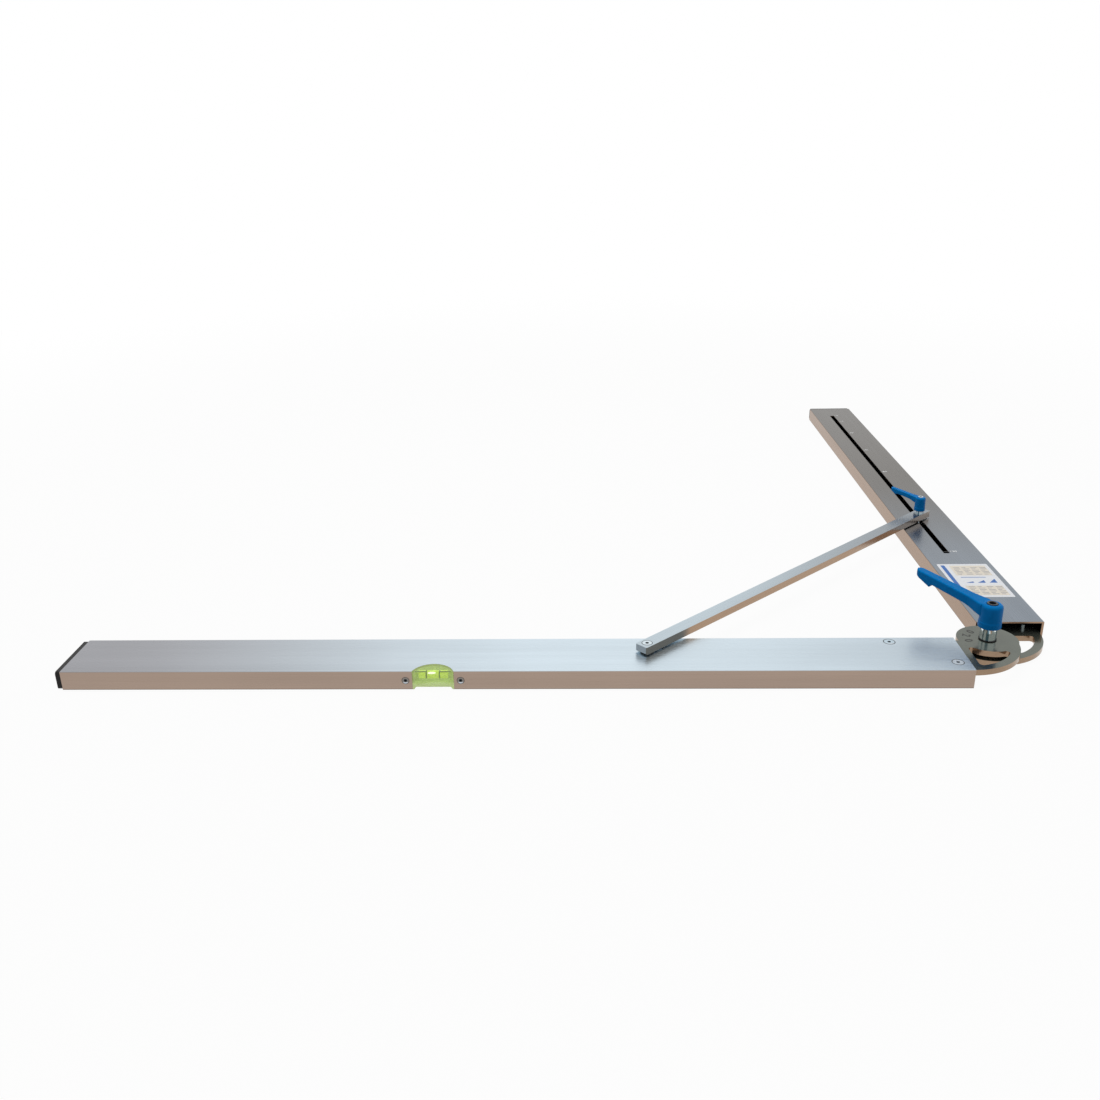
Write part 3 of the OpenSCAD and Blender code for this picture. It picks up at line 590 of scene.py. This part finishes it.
def clear(name, tone, cover):
    """Clear tinted plastic: a pale skin with a shine, milky at its foot, that shows what it holds; a painted
    glow stands in for light passing through it.
    """
    n = Nodes(name)
    haze = n.noise(n.place((300, 300, 300)), detail=2)
    colour = n.shade(tone, n.vary(haze, 0.95, 1.05))
    # Painted glow, standing in for light passing through the clear block
    n.surface(colour=colour, rough=n.vary(haze, 0.06, 0.12), glow=colour, glow_strength=0.30)
    veil = n.add("ShaderNodeBsdfTransparent")
    veil.inputs["Color"].default_value = VIAL_VEIL
    blend = n.add("ShaderNodeMixShader")
    foot = n.range(n.coordinate()[2], VIAL_MILK * MM, 2 * VIAL_MILK * MM, 0.85, cover, True)
    n.link(n.math("MULTIPLY", foot, n.vary(haze, 0.96, 1.04)), blend.inputs[0])
    n.link(veil.outputs[0], blend.inputs[1])
    n.link(n.bsdf.outputs[0], blend.inputs[2])
    n.link(blend.outputs[0], n.out.inputs["Surface"])
    return n.material


def dyed(name, tone, glow):
    """Dyed fluid or its bubble, with a painted glow: in the fluid it stands in for light through the clear
    block, in the bubble it makes a painted highlight.
    """
    n = Nodes(name)
    drift = n.noise(n.place((160, 160, 160)), detail=2)
    colour = n.shade(tone, n.vary(drift, 0.94, 1.05))
    return n.surface(colour=colour, rough=n.vary(drift, 0.12, 0.2), glow=colour, glow_strength=glow)


def printed(name, tone, rough=0.5):
    """Ink or an engraved line, a little worn."""
    n = Nodes(name)
    wear = n.noise(n.place((900, 900, 900)), detail=3)
    return n.surface(colour=n.shade(tone, n.vary(wear, 0.88, 1.08)),
                     rough=n.vary(wear, rough - 0.08, rough + 0.08), normal=n.bump(wear, 0.1, 0.00002))


# Finishes by the short names that the pieces use
MATERIALS = {}


def make_materials():
    """Make every finish once, by the short name that the pieces use."""
    c = colours()
    vial_screws = [at(VIAL_X + side * VIAL_SCREW_REACH, 0, VIAL_SCREW_Z) for side in (-1, 1)]
    plate_screws = [at(*place, ARM_H) for place in PLATE_SCREWS]
    strut_screw = [at(*STRUT_PIVOT, STRUT_TOP)]
    MATERIALS.update(
        level=brushed("level_aluminium", c.level_top, c.arm_side, turn=0.0, rough=0.30,
                      painted_reflection=level_fade, inside=(1, LEVEL_MIDDLE * MM)),
        slotted=brushed("slotted_aluminium", c.slotted_top, SLOTTED_SIDE_PAINTED_REFLECTION, turn=math.pi / 2, rough=0.26,
                        painted_reflection=slotted_fade, inside=(0, SLOTTED_MIDDLE * MM)),
        strut=brushed("strut_aluminium", c.strut, strut_side, turn=-math.pi / 4, rough=0.26,
                      painted_reflection=strut_fade),
        plate=plated("hinge_plating", c.plate, c.plate_rim),
        steel=turned("turned_steel", (0.60, 0.66, 0.70), rough=0.14),
        black=moulded("black_plastic", (0.010, 0.009, 0.009), rough=0.42, grain_size=1800, depth=0.00004,
                      shine=0.2),
        black_steel=moulded("black_oxide", (0.02, 0.02, 0.022), rough=0.30, grain_size=2500, depth=0.00002),
        white=moulded("white_plastic", (0.7, 0.7, 0.66), rough=0.4, grain_size=1500, depth=0.00003),
        lever=moulded("lever_coat", c.lever, rough=0.40, grain_size=2600, depth=0.00004, shine=0.05,
                      flank_painted_shade=0.82),
        main_bush=polished("main_bush_steel", PIVOT),
        small_bush=polished("small_bush_steel", SLIDE),
        vial_head=socket_head("vial_screw_heads", vial_screws, axes=(0, 2), head=VIAL_HEAD * MM,
                              socket=0.24, shaded=(0.24, 0.22, 0.20)),
        plate_head=socket_head("plate_screw_heads", plate_screws, axes=(0, 1), head=PLATE_HEAD * MM,
                               socket=0.13, shaded=(0.52, 0.63, 0.70)),
        pivot_head=socket_head("strut_screw_head", strut_screw, axes=(0, 1), head=STRUT_HEAD * MM,
                               socket=0.16, shaded=(0.72, 0.81, 0.86)),
        vial=clear("vial_body", (0.56, 0.68, 0.30), cover=0.30),
        # The fluid's glow is painted light, standing in for light through the clear block
        fluid=dyed("vial_fluid", c.fluid, glow=0.45),
        # The bubble is white and glows: a painted highlight on a real bubble
        bubble=dyed("vial_bubble_painted_highlight", (0.95, 0.97, 0.93), glow=0.8),
        vial_ink=printed("vial_ink", (0.03, 0.10, 0.02)),
        vial_edge=printed("vial_edge", (0.16, 0.23, 0.05)),
        vial_foot=printed("vial_foot", (0.50, 0.30, 0.08)),
        pale=printed("scale_print", c.print_pale),
        dark=printed("dark_print", c.print_dark),
        paper=printed("label_paper", (0.80, 0.82, 0.86), rough=0.4),
        label_blue=printed("label_blue", c.label_blue, rough=0.4),
        label_cream=printed("label_cream", c.label_cream, rough=0.45),
        label_grey=printed("label_grey", (0.16, 0.18, 0.26)),
    )


# The finish of each solid that isn't plain steel
NODE_MATERIAL = {
    "level_arm_profile": "level", "slotted_arm_profile": "slotted", "strut_bar": "strut",
    "level_arm_end_cap": "black", "slotted_arm_end_cap": "black", "hinge_spacer": "plate",
    "main_lever_bush": "main_bush", "small_lever_bush": "small_bush", "vial_screws": "vial_head",
    "upper_plate_screws": "plate_head", "strut_pivot_screw": "pivot_head",
    "hinge_top_washer": "black", "strut_pivot_washer": "black", "glide_pad": "black",
    "upper_hinge_plate": "plate", "lower_hinge_plate": "plate", "vial_holder": "white",
    "vial_block": "vial", "vial_filler_plug": "vial", "vial_liquid": "fluid",
    "main_lever_screw": "black_steel", "main_lever_handle": "lever", "small_lever_handle": "lever",
}


def dress(obj, material):
    """Give an object one material."""
    obj.data.materials.clear()
    obj.data.materials.append(material)


class SQUARE_OT_finishes(bpy.types.Operator):
    """Give every solid of the square its finish"""

    bl_idname = "square.finishes"
    bl_label = "Finishes"

    def execute(self, context):
        make_materials()
        for name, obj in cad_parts.items():
            dress(obj, MATERIALS[NODE_MATERIAL.get(name, "steel")])
        return {"FINISHED"}


def add_piece(name, bm, body, slot, *looks):
    """Make an object of a mesh, which rides on a body and takes one finish or more."""
    mesh = bpy.data.meshes.new(name)
    bm.normal_update()
    bm.to_mesh(mesh)
    bm.free()
    for look in looks:
        mesh.materials.append(MATERIALS[look])
    piece = bpy.data.objects.new(name, mesh)
    bpy.context.scene.collection.objects.link(piece)
    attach(piece, body)
    return piece


def add_slab(bm, points, low, high, look=0):
    """A flat piece with the given outline, in millimetres from the level arm's mouth."""
    lower = [bm.verts.new(at(x, y, low)) for x, y in points]
    upper = [bm.verts.new(at(x, y, high)) for x, y in points]
    faces = [bm.faces.new(lower[::-1]), bm.faces.new(upper)]
    for i in range(len(points)):
        k = (i + 1) % len(points)
        faces.append(bm.faces.new((lower[i], lower[k], upper[k], upper[i])))
    for face in faces:
        face.material_index = look


def box_outline(x0, y0, x1, y1, r=0.0):
    """A rectangle, with round corners where r is given."""
    if not r:
        return [(x0, y0), (x1, y0), (x1, y1), (x0, y1)]
    corners = ((x1 - r, y0 + r, -90), (x1 - r, y1 - r, 0), (x0 + r, y1 - r, 90), (x0 + r, y0 + r, 180))
    return [(x + r * math.cos(math.radians(a + k * 18)), y + r * math.sin(math.radians(a + k * 18)))
            for x, y, a in corners for k in range(6)]


def add_number(bm, text, x, y, z, height, turn=0.0):
    """Raised digits with the middle of their foot at a point, in millimetres."""
    letters = bpy.data.curves.new("digits", "FONT")
    letters.body = text
    letters.align_x = "CENTER"
    letters.size = height * MM / DIGIT_SHARE
    letters.extrude = PRINT / 2 * MM
    letters.offset = DIGIT_BOLD * height * MM
    letters.resolution_u = 3
    holder = bpy.data.objects.new("digits", letters)
    bpy.context.scene.collection.objects.link(holder)
    bpy.context.view_layer.update()
    mesh = bpy.data.meshes.new_from_object(holder)
    mesh.transform(Matrix.Translation(at(x, y, z)) @ Matrix.Rotation(turn, 4, "Z"))
    bm.from_mesh(mesh)
    bpy.data.meshes.remove(mesh)
    bpy.data.objects.remove(holder)
    bpy.data.curves.remove(letters)


def add_tube(bm, start, end, radius, sides, look=0):
    """A round bar with closed ends between two points."""
    start, end = Vector(start), Vector(end)
    turn = (end - start).to_track_quat("Z", "Y").to_matrix().to_4x4()
    made = bmesh.ops.create_cone(
        bm, cap_ends=True, segments=sides, radius1=radius, radius2=radius, depth=(end - start).length,
        matrix=Matrix.Translation((start + end) / 2) @ turn)
    for vert in made["verts"]:
        for face in vert.link_faces:
            face.material_index = look


class SQUARE_OT_scale(bpy.types.Operator):
    """Print the angle scale beside the slot"""

    bl_idname = "square.scale"
    bl_label = "Angle scale"

    def execute(self, context):
        height = sizes().digit / MM
        reach = sizes().tick / MM
        marks, numbers = bmesh.new(), bmesh.new()
        for angle, y in ANGLES:
            mark = box_outline(MARK_X, y - MARK_HALF, MARK_X + reach, y + MARK_HALF)
            add_slab(marks, mark, ARM_H, ARM_H + PRINT)
            x = MARK_X + reach + NUMBER_GAP * height
            add_number(numbers, str(angle), x, y - height / 2, ARM_H + PRINT, height)
        add_piece("angle_marks", marks, "slotted_arm", "white_plastic", "pale")
        add_piece("angle_numbers", numbers, "slotted_arm", "white_plastic", "pale")
        return {"FINISHED"}


class SQUARE_OT_engraving(bpy.types.Operator):
    """Engrave the line at the slot's end and the digits on the hinge disc"""

    bl_idname = "square.engraving"
    bl_label = "Engraving"

    def execute(self, context):
        line, digits = bmesh.new(), bmesh.new()
        add_slab(line, box_outline(*SLOT_LINE), ARM_H, ARM_H + PRINT)
        for text, turn in DISC_DIGITS:
            a = math.radians(turn)
            x, y = PIVOT[0] + DISC_DIGIT_R * math.cos(a), PIVOT[1] + DISC_DIGIT_R * math.sin(a)
            add_number(digits, text, x, y, PLATE_TOP + PRINT, DISC_DIGIT_H, a + math.pi / 2)
        add_piece("slot_line", line, "slotted_arm", "black_plastic", "dark")
        add_piece("disc_digits", digits, "level_arm", "black_plastic", "dark")
        return {"FINISHED"}


class SQUARE_OT_label(bpy.types.Operator):
    """Stick the label on the slotted arm"""

    bl_idname = "square.label"
    bl_label = "Label"

    def execute(self, context):
        wide, long = sizes().label_width / MM, sizes().label_length / MM
        x0, y0 = LABEL_MIDDLE[0] - wide / 2, LABEL_MIDDLE[1] - long / 2
        x1, y1 = x0 + wide, y0 + long
        sheet, ink = bmesh.new(), bmesh.new()
        top = ARM_H + LABEL_THICK
        add_slab(sheet, box_outline(x0, y0, x1, y1, LABEL_CORNER), ARM_H, top)
        low, high = top - INK_SINK, top + PRINT
        # Margins and steps are in millimetres from the label's edges
        strip = box_outline(x0 + 3.5, y0 + 5, x0 + 8, y1 - 4)
        near_band = box_outline(x0 + 13, y0 + 5, x1 - 4, y0 + 31)
        far_band = box_outline(x0 + 13, y1 - 34, x1 - 4, y1 - 5)
        for outline, look in ((strip, 0), (near_band, 1), (far_band, 1)):
            add_slab(ink, outline, low, high, look)
        rows = sizes().label_rows
        for first_y in (y0 + 8, y1 - 31):
            for row in range(rows):
                y = first_y + row * DASH_ROW
                for column in range(4):
                    x = x0 + 16 + column * DASH_COLUMN
                    end = x + (DASH_LONG if (row + column) % 3 else DASH_SHORT)
                    add_slab(ink, box_outline(x, y, end, y + DASH_HIGH), high - INK_SINK, high + PRINT, 2)
        middle = (y0 + y1) / 2 - 1
        foot = middle - 7
        for k in range(3):
            x = x0 + 17 + k * 13
            rise = 4 + 3.5 * k
            add_slab(ink, [(x, foot), (x + 9, foot), (x + 9, foot + rise)], low, high, 0)
        add_slab(ink, box_outline(x0 + 16, middle + 8, x1 - 14, middle + 9.4), low, high, 0)
        add_piece("label_sheet", sheet, "slotted_arm", "white_plastic", "paper")
        add_piece("label_print", ink, "slotted_arm", "white_plastic",
                  "label_blue", "label_cream", "label_grey")
        return {"FINISHED"}


class SQUARE_OT_vial(bpy.types.Operator):
    """Draw the vial's lines and its bubble"""

    bl_idname = "square.vial"
    bl_label = "Vial lines and bubble"

    def execute(self, context):
        lines, bubble, rim = bmesh.new(), bmesh.new(), bmesh.new()
        y, z = CHAMBER_Y - 2, CHAMBER_Z + CHAMBER_R
        for side in (-1, 1):
            x, end = VIAL_X + side * VIAL_LINE, VIAL_X + side * VIAL_LINE_END
            add_tube(lines, at(x - VIAL_RING_HALF, CHAMBER_Y, CHAMBER_Z),
                     at(x + VIAL_RING_HALF, CHAMBER_Y, CHAMBER_Z), (CHAMBER_R + PRINT) * MM, 48)
            add_tube(lines, at(x, y, z), at(end, y, z), VIAL_LINE_R * MM, 12)
        r = VIAL_R - RIM_IN
        turns = [math.radians(RIM_FIRST + k * RIM_TURN / RIM_PARTS) for k in range(RIM_PARTS + 1)]
        arc = [at(VIAL_X + r * math.cos(a), VIAL_CENTRE_Y + r * math.sin(a), ARM_H - RIM_DOWN)
               for a in turns]
        for start, end in zip(arc, arc[1:]):
            add_tube(rim, start, end, RIM_R * MM, 8)
        left, right = (at(VIAL_X + side * FOOT_HALF, FOOT_Y, FOOT_Z) for side in (-1, 1))
        add_tube(rim, left, right, FOOT_R * MM, 8, 1)
        # The bubble, whose white glowing finish makes it a painted highlight
        middle = at(*(a + b for a, b in zip((VIAL_X, CHAMBER_Y, CHAMBER_Z), BUBBLE_OFF)))
        bmesh.ops.create_uvsphere(
            bubble, u_segments=40, v_segments=20, radius=1.0,
            matrix=Matrix.Translation(middle) @ Matrix.Diagonal((*(size * MM for size in BUBBLE), 1.0)))
        for face in bubble.faces:
            face.smooth = True
        add_piece("vial_lines", lines, "level_arm", "black_plastic", "vial_ink")
        add_piece("vial_rim", rim, "level_arm", "vial_clear", "vial_edge", "vial_foot")
        add_piece("vial_bubble_painted_highlight", bubble, "level_arm", "vial_fluid", "bubble")
        return {"FINISHED"}


def ease(share):
    """0 to 1 with a smooth start and end."""
    share = max(0.0, min(1.0, share))
    return share * share * (3 - 2 * share)


def add_rings(bm, rings, closed=False):
    """Join rings of points, in the order given, to a closed skin."""
    rows = [[bm.verts.new(point) for point in ring] for ring in rings]
    count = len(rows[0])
    pairs = list(zip(rows, rows[1:])) + ([(rows[-1], rows[0])] if closed else [])
    for low, high in pairs:
        for i in range(count):
            k = (i + 1) % count
            bm.faces.new((low[i], low[k], high[k], high[i]))
    if not closed:
        bm.faces.new(rows[0][::-1])
        bm.faces.new(rows[-1])


class Lever(NamedTuple):
    """A clamping lever, with sizes in millimetres and its turn in degrees."""

    name: str
    centre: tuple
    foot: float
    turn: float
    # The hub, the room in it for the bush, the screw's hole and the spring's well
    hub_r: float
    hub_h: float
    core_r: float
    core_h: float
    shank_r: float
    well_r: float
    # The arm: widths and depths at the hub, beside it and at the tip, and its rise
    reach: float
    rise: float
    widths: tuple
    depths: tuple
    nub: float
    corner: float
    # The spring: its two heights, its radius, its wire, and the share that is left when the handle lifts
    low: float
    high: float
    coil_r: float
    wire: float
    keep: float
    # The size of the moulding's cells, and the finish and slot of the screw's rim
    grain: float
    look: str
    slot: str

    def point(self, along, across, up):
        """A point along the lever, across it and above its foot, in the row frame."""
        c, s = math.cos(math.radians(self.turn)), math.sin(math.radians(self.turn))
        x = self.centre[0] + along * c - across * s
        y = self.centre[1] + along * s + across * c
        return at(x, y, self.foot + up)

    def polar(self, r, a, up):
        """A point at a radius and an angle round the lever's axis."""
        return self.point(r * math.cos(a), r * math.sin(a), up)

    def arm_ring(self, share):
        """The arm's section: flat above, round corners, with the finger nub under its end."""
        start = self.well_r + 1.2
        length = self.reach - start
        root_w, near_w, far_w = self.widths
        root_d, near_d, far_d = self.depths
        half = (near_w + (far_w - near_w) * share + (root_w - near_w) * (1 - ease(share / ROOT_WIDE))) / 2
        deep = near_d + (far_d - near_d) * share + (root_d - near_d) * (1 - ease(share / ROOT_DEEP))
        deep += self.nub * ease((share - NUB_START) / NUB_RISE)
        deep -= TIP_THIN * (far_d + self.nub) * max(0.0, share - TIP_START) / TIP_LENGTH
        tip = far_w / 2 / length
        past = (share - 1 + tip) / tip
        if past > 0:
            half *= math.sqrt(max(0.01, 1 - past * past))
        top = self.hub_h - 0.3 + self.rise * share
        corner = min(self.corner, half * 0.9, deep * 0.45)
        ring = []
        for side, level, first in ((1, top - deep, -90), (1, top, 0), (-1, top, 90), (-1, top - deep, 180)):
            y = side * (half - corner)
            z = level - corner if level == top else level + corner
            for k in range(6):
                a = math.radians(first + 18 * k)
                across, up = y + corner * math.cos(a), z + corner * math.sin(a)
                ring.append(self.point(start + length * share, across, up))
        return ring

    def add_arm(self, bm):
        """The arm, from inside the hub to its tip."""
        add_rings(bm, [self.arm_ring(share) for share in ARM_SHARES])

    def add_lathed(self, bm, profile, sides):
        """A closed profile of radii and heights, turned round the lever's axis."""
        rings = [[self.polar(r, 2 * math.pi * k / sides, z) for k in range(sides)] for r, z in profile]
        add_rings(bm, rings[::-1], closed=True)

    def add_hub(self, bm):
        """The hub with its skirt, round shoulder, socket for the bush and well for the spring."""
        skirt, shoulder = SKIRT * self.hub_h, SHOULDER * self.hub_r
        outer = self.hub_r - SKIRT_OUT * self.hub_r
        well_floor = self.core_h + 2
        profile = [(self.core_r, 0), (self.hub_r, 0), (self.hub_r, skirt), (outer, skirt + 0.4)]
        for k in range(9):
            a = math.radians(k * 11.25)
            height = self.hub_h - shoulder * (1 - math.sin(a))
            profile.append((outer - shoulder + shoulder * math.cos(a), height))
        profile += [(self.well_r, self.hub_h), (self.well_r, well_floor), (self.shank_r, well_floor),
                    (self.shank_r, self.core_h), (self.core_r, self.core_h)]
        self.add_lathed(bm, profile, 72)

    def add_rim(self, bm):
        """The raised rim of the screw's head round its hexagon socket."""
        r = self.well_r - 0.3
        profile = [(r * 0.62, -1.0), (r, -1.0), (r, 0.4), (r * 0.93, 0.8), (r * 0.72, 0.8), (r * 0.62, 0.4)]
        self.add_lathed(bm, [(q, self.hub_h + z) for q, z in profile], 48)

    def add_spring(self, bm):
        """The spring between the well's floor and the screw's head, as one wound wire."""
        half = self.wire / 2
        pitch = (self.high - self.low - self.wire) / COILS
        turns = [2 * math.pi * i / COIL_SIDES for i in range(COIL_SIDES)]
        rings = []
        for k in range(round(COILS * COIL_STEPS) + 1):
            a = 2 * math.pi * k / COIL_STEPS
            rise = self.low + half + pitch * k / COIL_STEPS - self.foot
            rings.append([self.polar(self.coil_r + half * math.cos(b), a, rise + half * math.sin(b))
                          for b in turns])
        add_rings(bm, rings[::-1])


LEVERS = (
    Lever(name="main", centre=PIVOT, foot=32.2, turn=132, hub_r=11.4, hub_h=25.0, core_r=7.6, core_h=7.8,
          shank_r=2.7, well_r=5.7, reach=85.0, rise=13.4, widths=(19.0, 14.0, 10.5),
          depths=(13.0, 10.5, 8.6), nub=4.0, corner=1.6, low=42.2, high=52.2, coil_r=4.4, wire=1.1,
          keep=0.58, grain=0.45, look="black_steel", slot="black_steel"),
    Lever(name="small", centre=SLIDE, foot=32.3, turn=135, hub_r=6.8, hub_h=18.0, core_r=5.1, core_h=5.8,
          shank_r=1.95, well_r=3.4, reach=42.0, rise=5.0, widths=(9.5, 7.6, 6.4),
          depths=(7.6, 6.0, 5.2), nub=2.0, corner=1.0, low=40.3, high=47.3, coil_r=2.6, wire=0.6,
          keep=0.62, grain=0.3, look="steel", slot="bare_steel"),
)


class SQUARE_OT_levers(bpy.types.Operator):
    """Mould the levers' blue handles and seat the rims of their screws"""

    bl_idname = "square.levers"
    bl_label = "Lever handles"

    def execute(self, context):
        for lever in LEVERS:
            name = lever.name
            handle, rim = bmesh.new(), bmesh.new()
            lever.add_hub(handle)
            lever.add_arm(handle)
            lever.add_rim(rim)
            piece = add_piece(name + "_handle_moulding", handle, name + "_handle", "lever_blue", "lever")
            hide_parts(name + "_lever_handle")
            skin = piece.modifiers.new("skin", "REMESH")
            skin.mode = "VOXEL"
            skin.voxel_size = lever.grain * MM
            skin.use_smooth_shade = True
            soft = piece.modifiers.new("soft", "SMOOTH")
            soft.factor = 0.5
            soft.iterations = 3
            add_piece(name + "_screw_rim", rim, name + "_lever", lever.slot, lever.look)
        return {"FINISHED"}


class SQUARE_OT_springs(bpy.types.Operator):
    """Wind the springs that press the handles down on their teeth"""

    bl_idname = "square.springs"
    bl_label = "Lever springs"

    def execute(self, context):
        for lever in LEVERS:
            name = lever.name
            coil = bmesh.new()
            lever.add_spring(coil)
            piece = add_piece(name + "_spring_coil", coil, name + "_lever", "bare_steel", "steel")
            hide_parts(name + "_lever_spring")
            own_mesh(piece)
        return {"FINISHED"}


class SQUARE_OT_stage(bpy.types.Operator):
    """Set up the floor, the light and the camera"""

    bl_idname = "square.stage"
    bl_label = "Stage"

    def execute(self, context):
        scene = context.scene
        scene.view_settings.view_transform = "Standard"
        make_floor()
        make_world(scene)
        make_lamps(scene)
        make_camera(scene)
        return {"FINISHED"}


def make_floor():
    """A white floor that keeps the soft shadow near the square and fades into the white room."""
    bm = bmesh.new()
    bmesh.ops.create_circle(bm, cap_ends=True, segments=64, radius=FLOOR_R)
    mesh = bpy.data.meshes.new("floor")
    bm.to_mesh(mesh)
    bm.free()
    floor = bpy.data.objects.new("floor", mesh)
    bpy.context.scene.collection.objects.link(floor)
    n = Nodes("floor_white")
    n.tree.nodes.remove(n.bsdf)
    matt = n.add("ShaderNodeBsdfDiffuse")
    matt.inputs["Color"].default_value = FLOOR_TONE
    glow = n.add("ShaderNodeEmission")
    place = n.coordinate()
    far = n.length(place[0], place[1])
    share = n.range(far, FLOOR_NEAR, FLOOR_FAR, FLOOR_WHITE, 1.0, True)
    blend = n.add("ShaderNodeMixShader")
    n.link(n.math("MULTIPLY", white_rays(n.tree), share), blend.inputs[0])
    n.link(matt.outputs[0], blend.inputs[1])
    n.link(glow.outputs[0], blend.inputs[2])
    n.link(blend.outputs[0], n.out.inputs["Surface"])
    dress(floor, n.material)


def white_rays(tree):
    """1 for the rays that meet plain white: the camera's own, mirrored ones and those through glass."""
    path = tree.nodes.new("ShaderNodeLightPath")
    seen = path.outputs["Is Camera Ray"]
    for name in ("Is Glossy Ray", "Is Transmission Ray"):
        either = tree.nodes.new("ShaderNodeMath")
        either.operation = "MAXIMUM"
        tree.links.new(seen, either.inputs[0])
        tree.links.new(path.outputs[name], either.inputs[1])
        seen = either.outputs[0]
    return seen


def make_world(scene):
    """A room that shows plain white and lights the square softly."""
    world = bpy.data.worlds.new("studio")
    scene.world = world
    world.use_nodes = True
    tree = world.node_tree
    tree.nodes.clear()
    out = tree.nodes.new("ShaderNodeOutputWorld")
    soft = tree.nodes.new("ShaderNodeBackground")
    soft.inputs["Strength"].default_value = WORLD_LIGHT
    white = tree.nodes.new("ShaderNodeBackground")
    for background in (soft, white):
        background.inputs["Color"].default_value = (1, 1, 1, 1)
    blend = tree.nodes.new("ShaderNodeMixShader")
    tree.links.new(white_rays(tree), blend.inputs[0])
    tree.links.new(soft.outputs[0], blend.inputs[1])
    tree.links.new(white.outputs[0], blend.inputs[2])
    tree.links.new(blend.outputs[0], out.inputs[0])


def make_lamps(scene):
    """Two soft lamps, which mirrors don't show."""
    for name, place, size, watts, tint in LAMPS:
        light = bpy.data.lights.new(name, "AREA")
        light.size = size
        light.energy = watts
        light.color = tint
        obj = bpy.data.objects.new(name, light)
        obj.location = place
        obj.visible_glossy = False
        aim = LAMP_AIM - Vector(place)
        obj.rotation_euler = aim.to_track_quat("-Z", "Y").to_euler()
        scene.collection.objects.link(obj)


def make_camera(scene):
    """The camera, as solved from the arms' edges."""
    up = CAMERA_RIGHT.cross(CAMERA_AHEAD)
    camera = bpy.data.cameras.new("camera")
    camera.sensor_width = 36.0
    camera.lens = sizes().lens
    camera.clip_end = 50.0
    obj = bpy.data.objects.new("camera", camera)
    turn = Matrix((CAMERA_RIGHT, up, -CAMERA_AHEAD)).transposed().to_4x4()
    obj.matrix_world = Matrix.Translation(CAMERA_PLACE) @ turn
    scene.collection.objects.link(obj)
    scene.camera = obj


class SQUARE_PT_panel(bpy.types.Panel):
    """Sizes, colours and pieces of the square"""

    bl_label = "Square"
    bl_idname = "SQUARE_PT_panel"
    bl_space_type = "VIEW_3D"
    bl_region_type = "UI"
    bl_category = "Square"

    def draw(self, context):
        for group in (colours(), sizes()):
            for name in group.__annotations__:
                self.layout.prop(group, name)
        for operator in OPERATORS:
            self.layout.operator(operator.bl_idname)


OPERATORS = (
    SQUARE_OT_finishes, SQUARE_OT_levers, SQUARE_OT_springs, SQUARE_OT_scale, SQUARE_OT_engraving,
    SQUARE_OT_label, SQUARE_OT_vial, SQUARE_OT_stage,
)
CLASSES = (SquareColours, SquareSizes, *OPERATORS, SQUARE_PT_panel)


def register():
    for cls in CLASSES:
        bpy.utils.register_class(cls)
    bpy.types.Scene.square_colours = PointerProperty(type=SquareColours)
    bpy.types.Scene.square_sizes = PointerProperty(type=SquareSizes)


def unregister():
    del bpy.types.Scene.square_sizes
    del bpy.types.Scene.square_colours
    for cls in reversed(CLASSES):
        bpy.utils.unregister_class(cls)


def main():
    register()
    for operator in OPERATORS:
        family, name = operator.bl_idname.split(".")
        getattr(getattr(bpy.ops, family), name)()


if __name__ == "__main__":
    main()
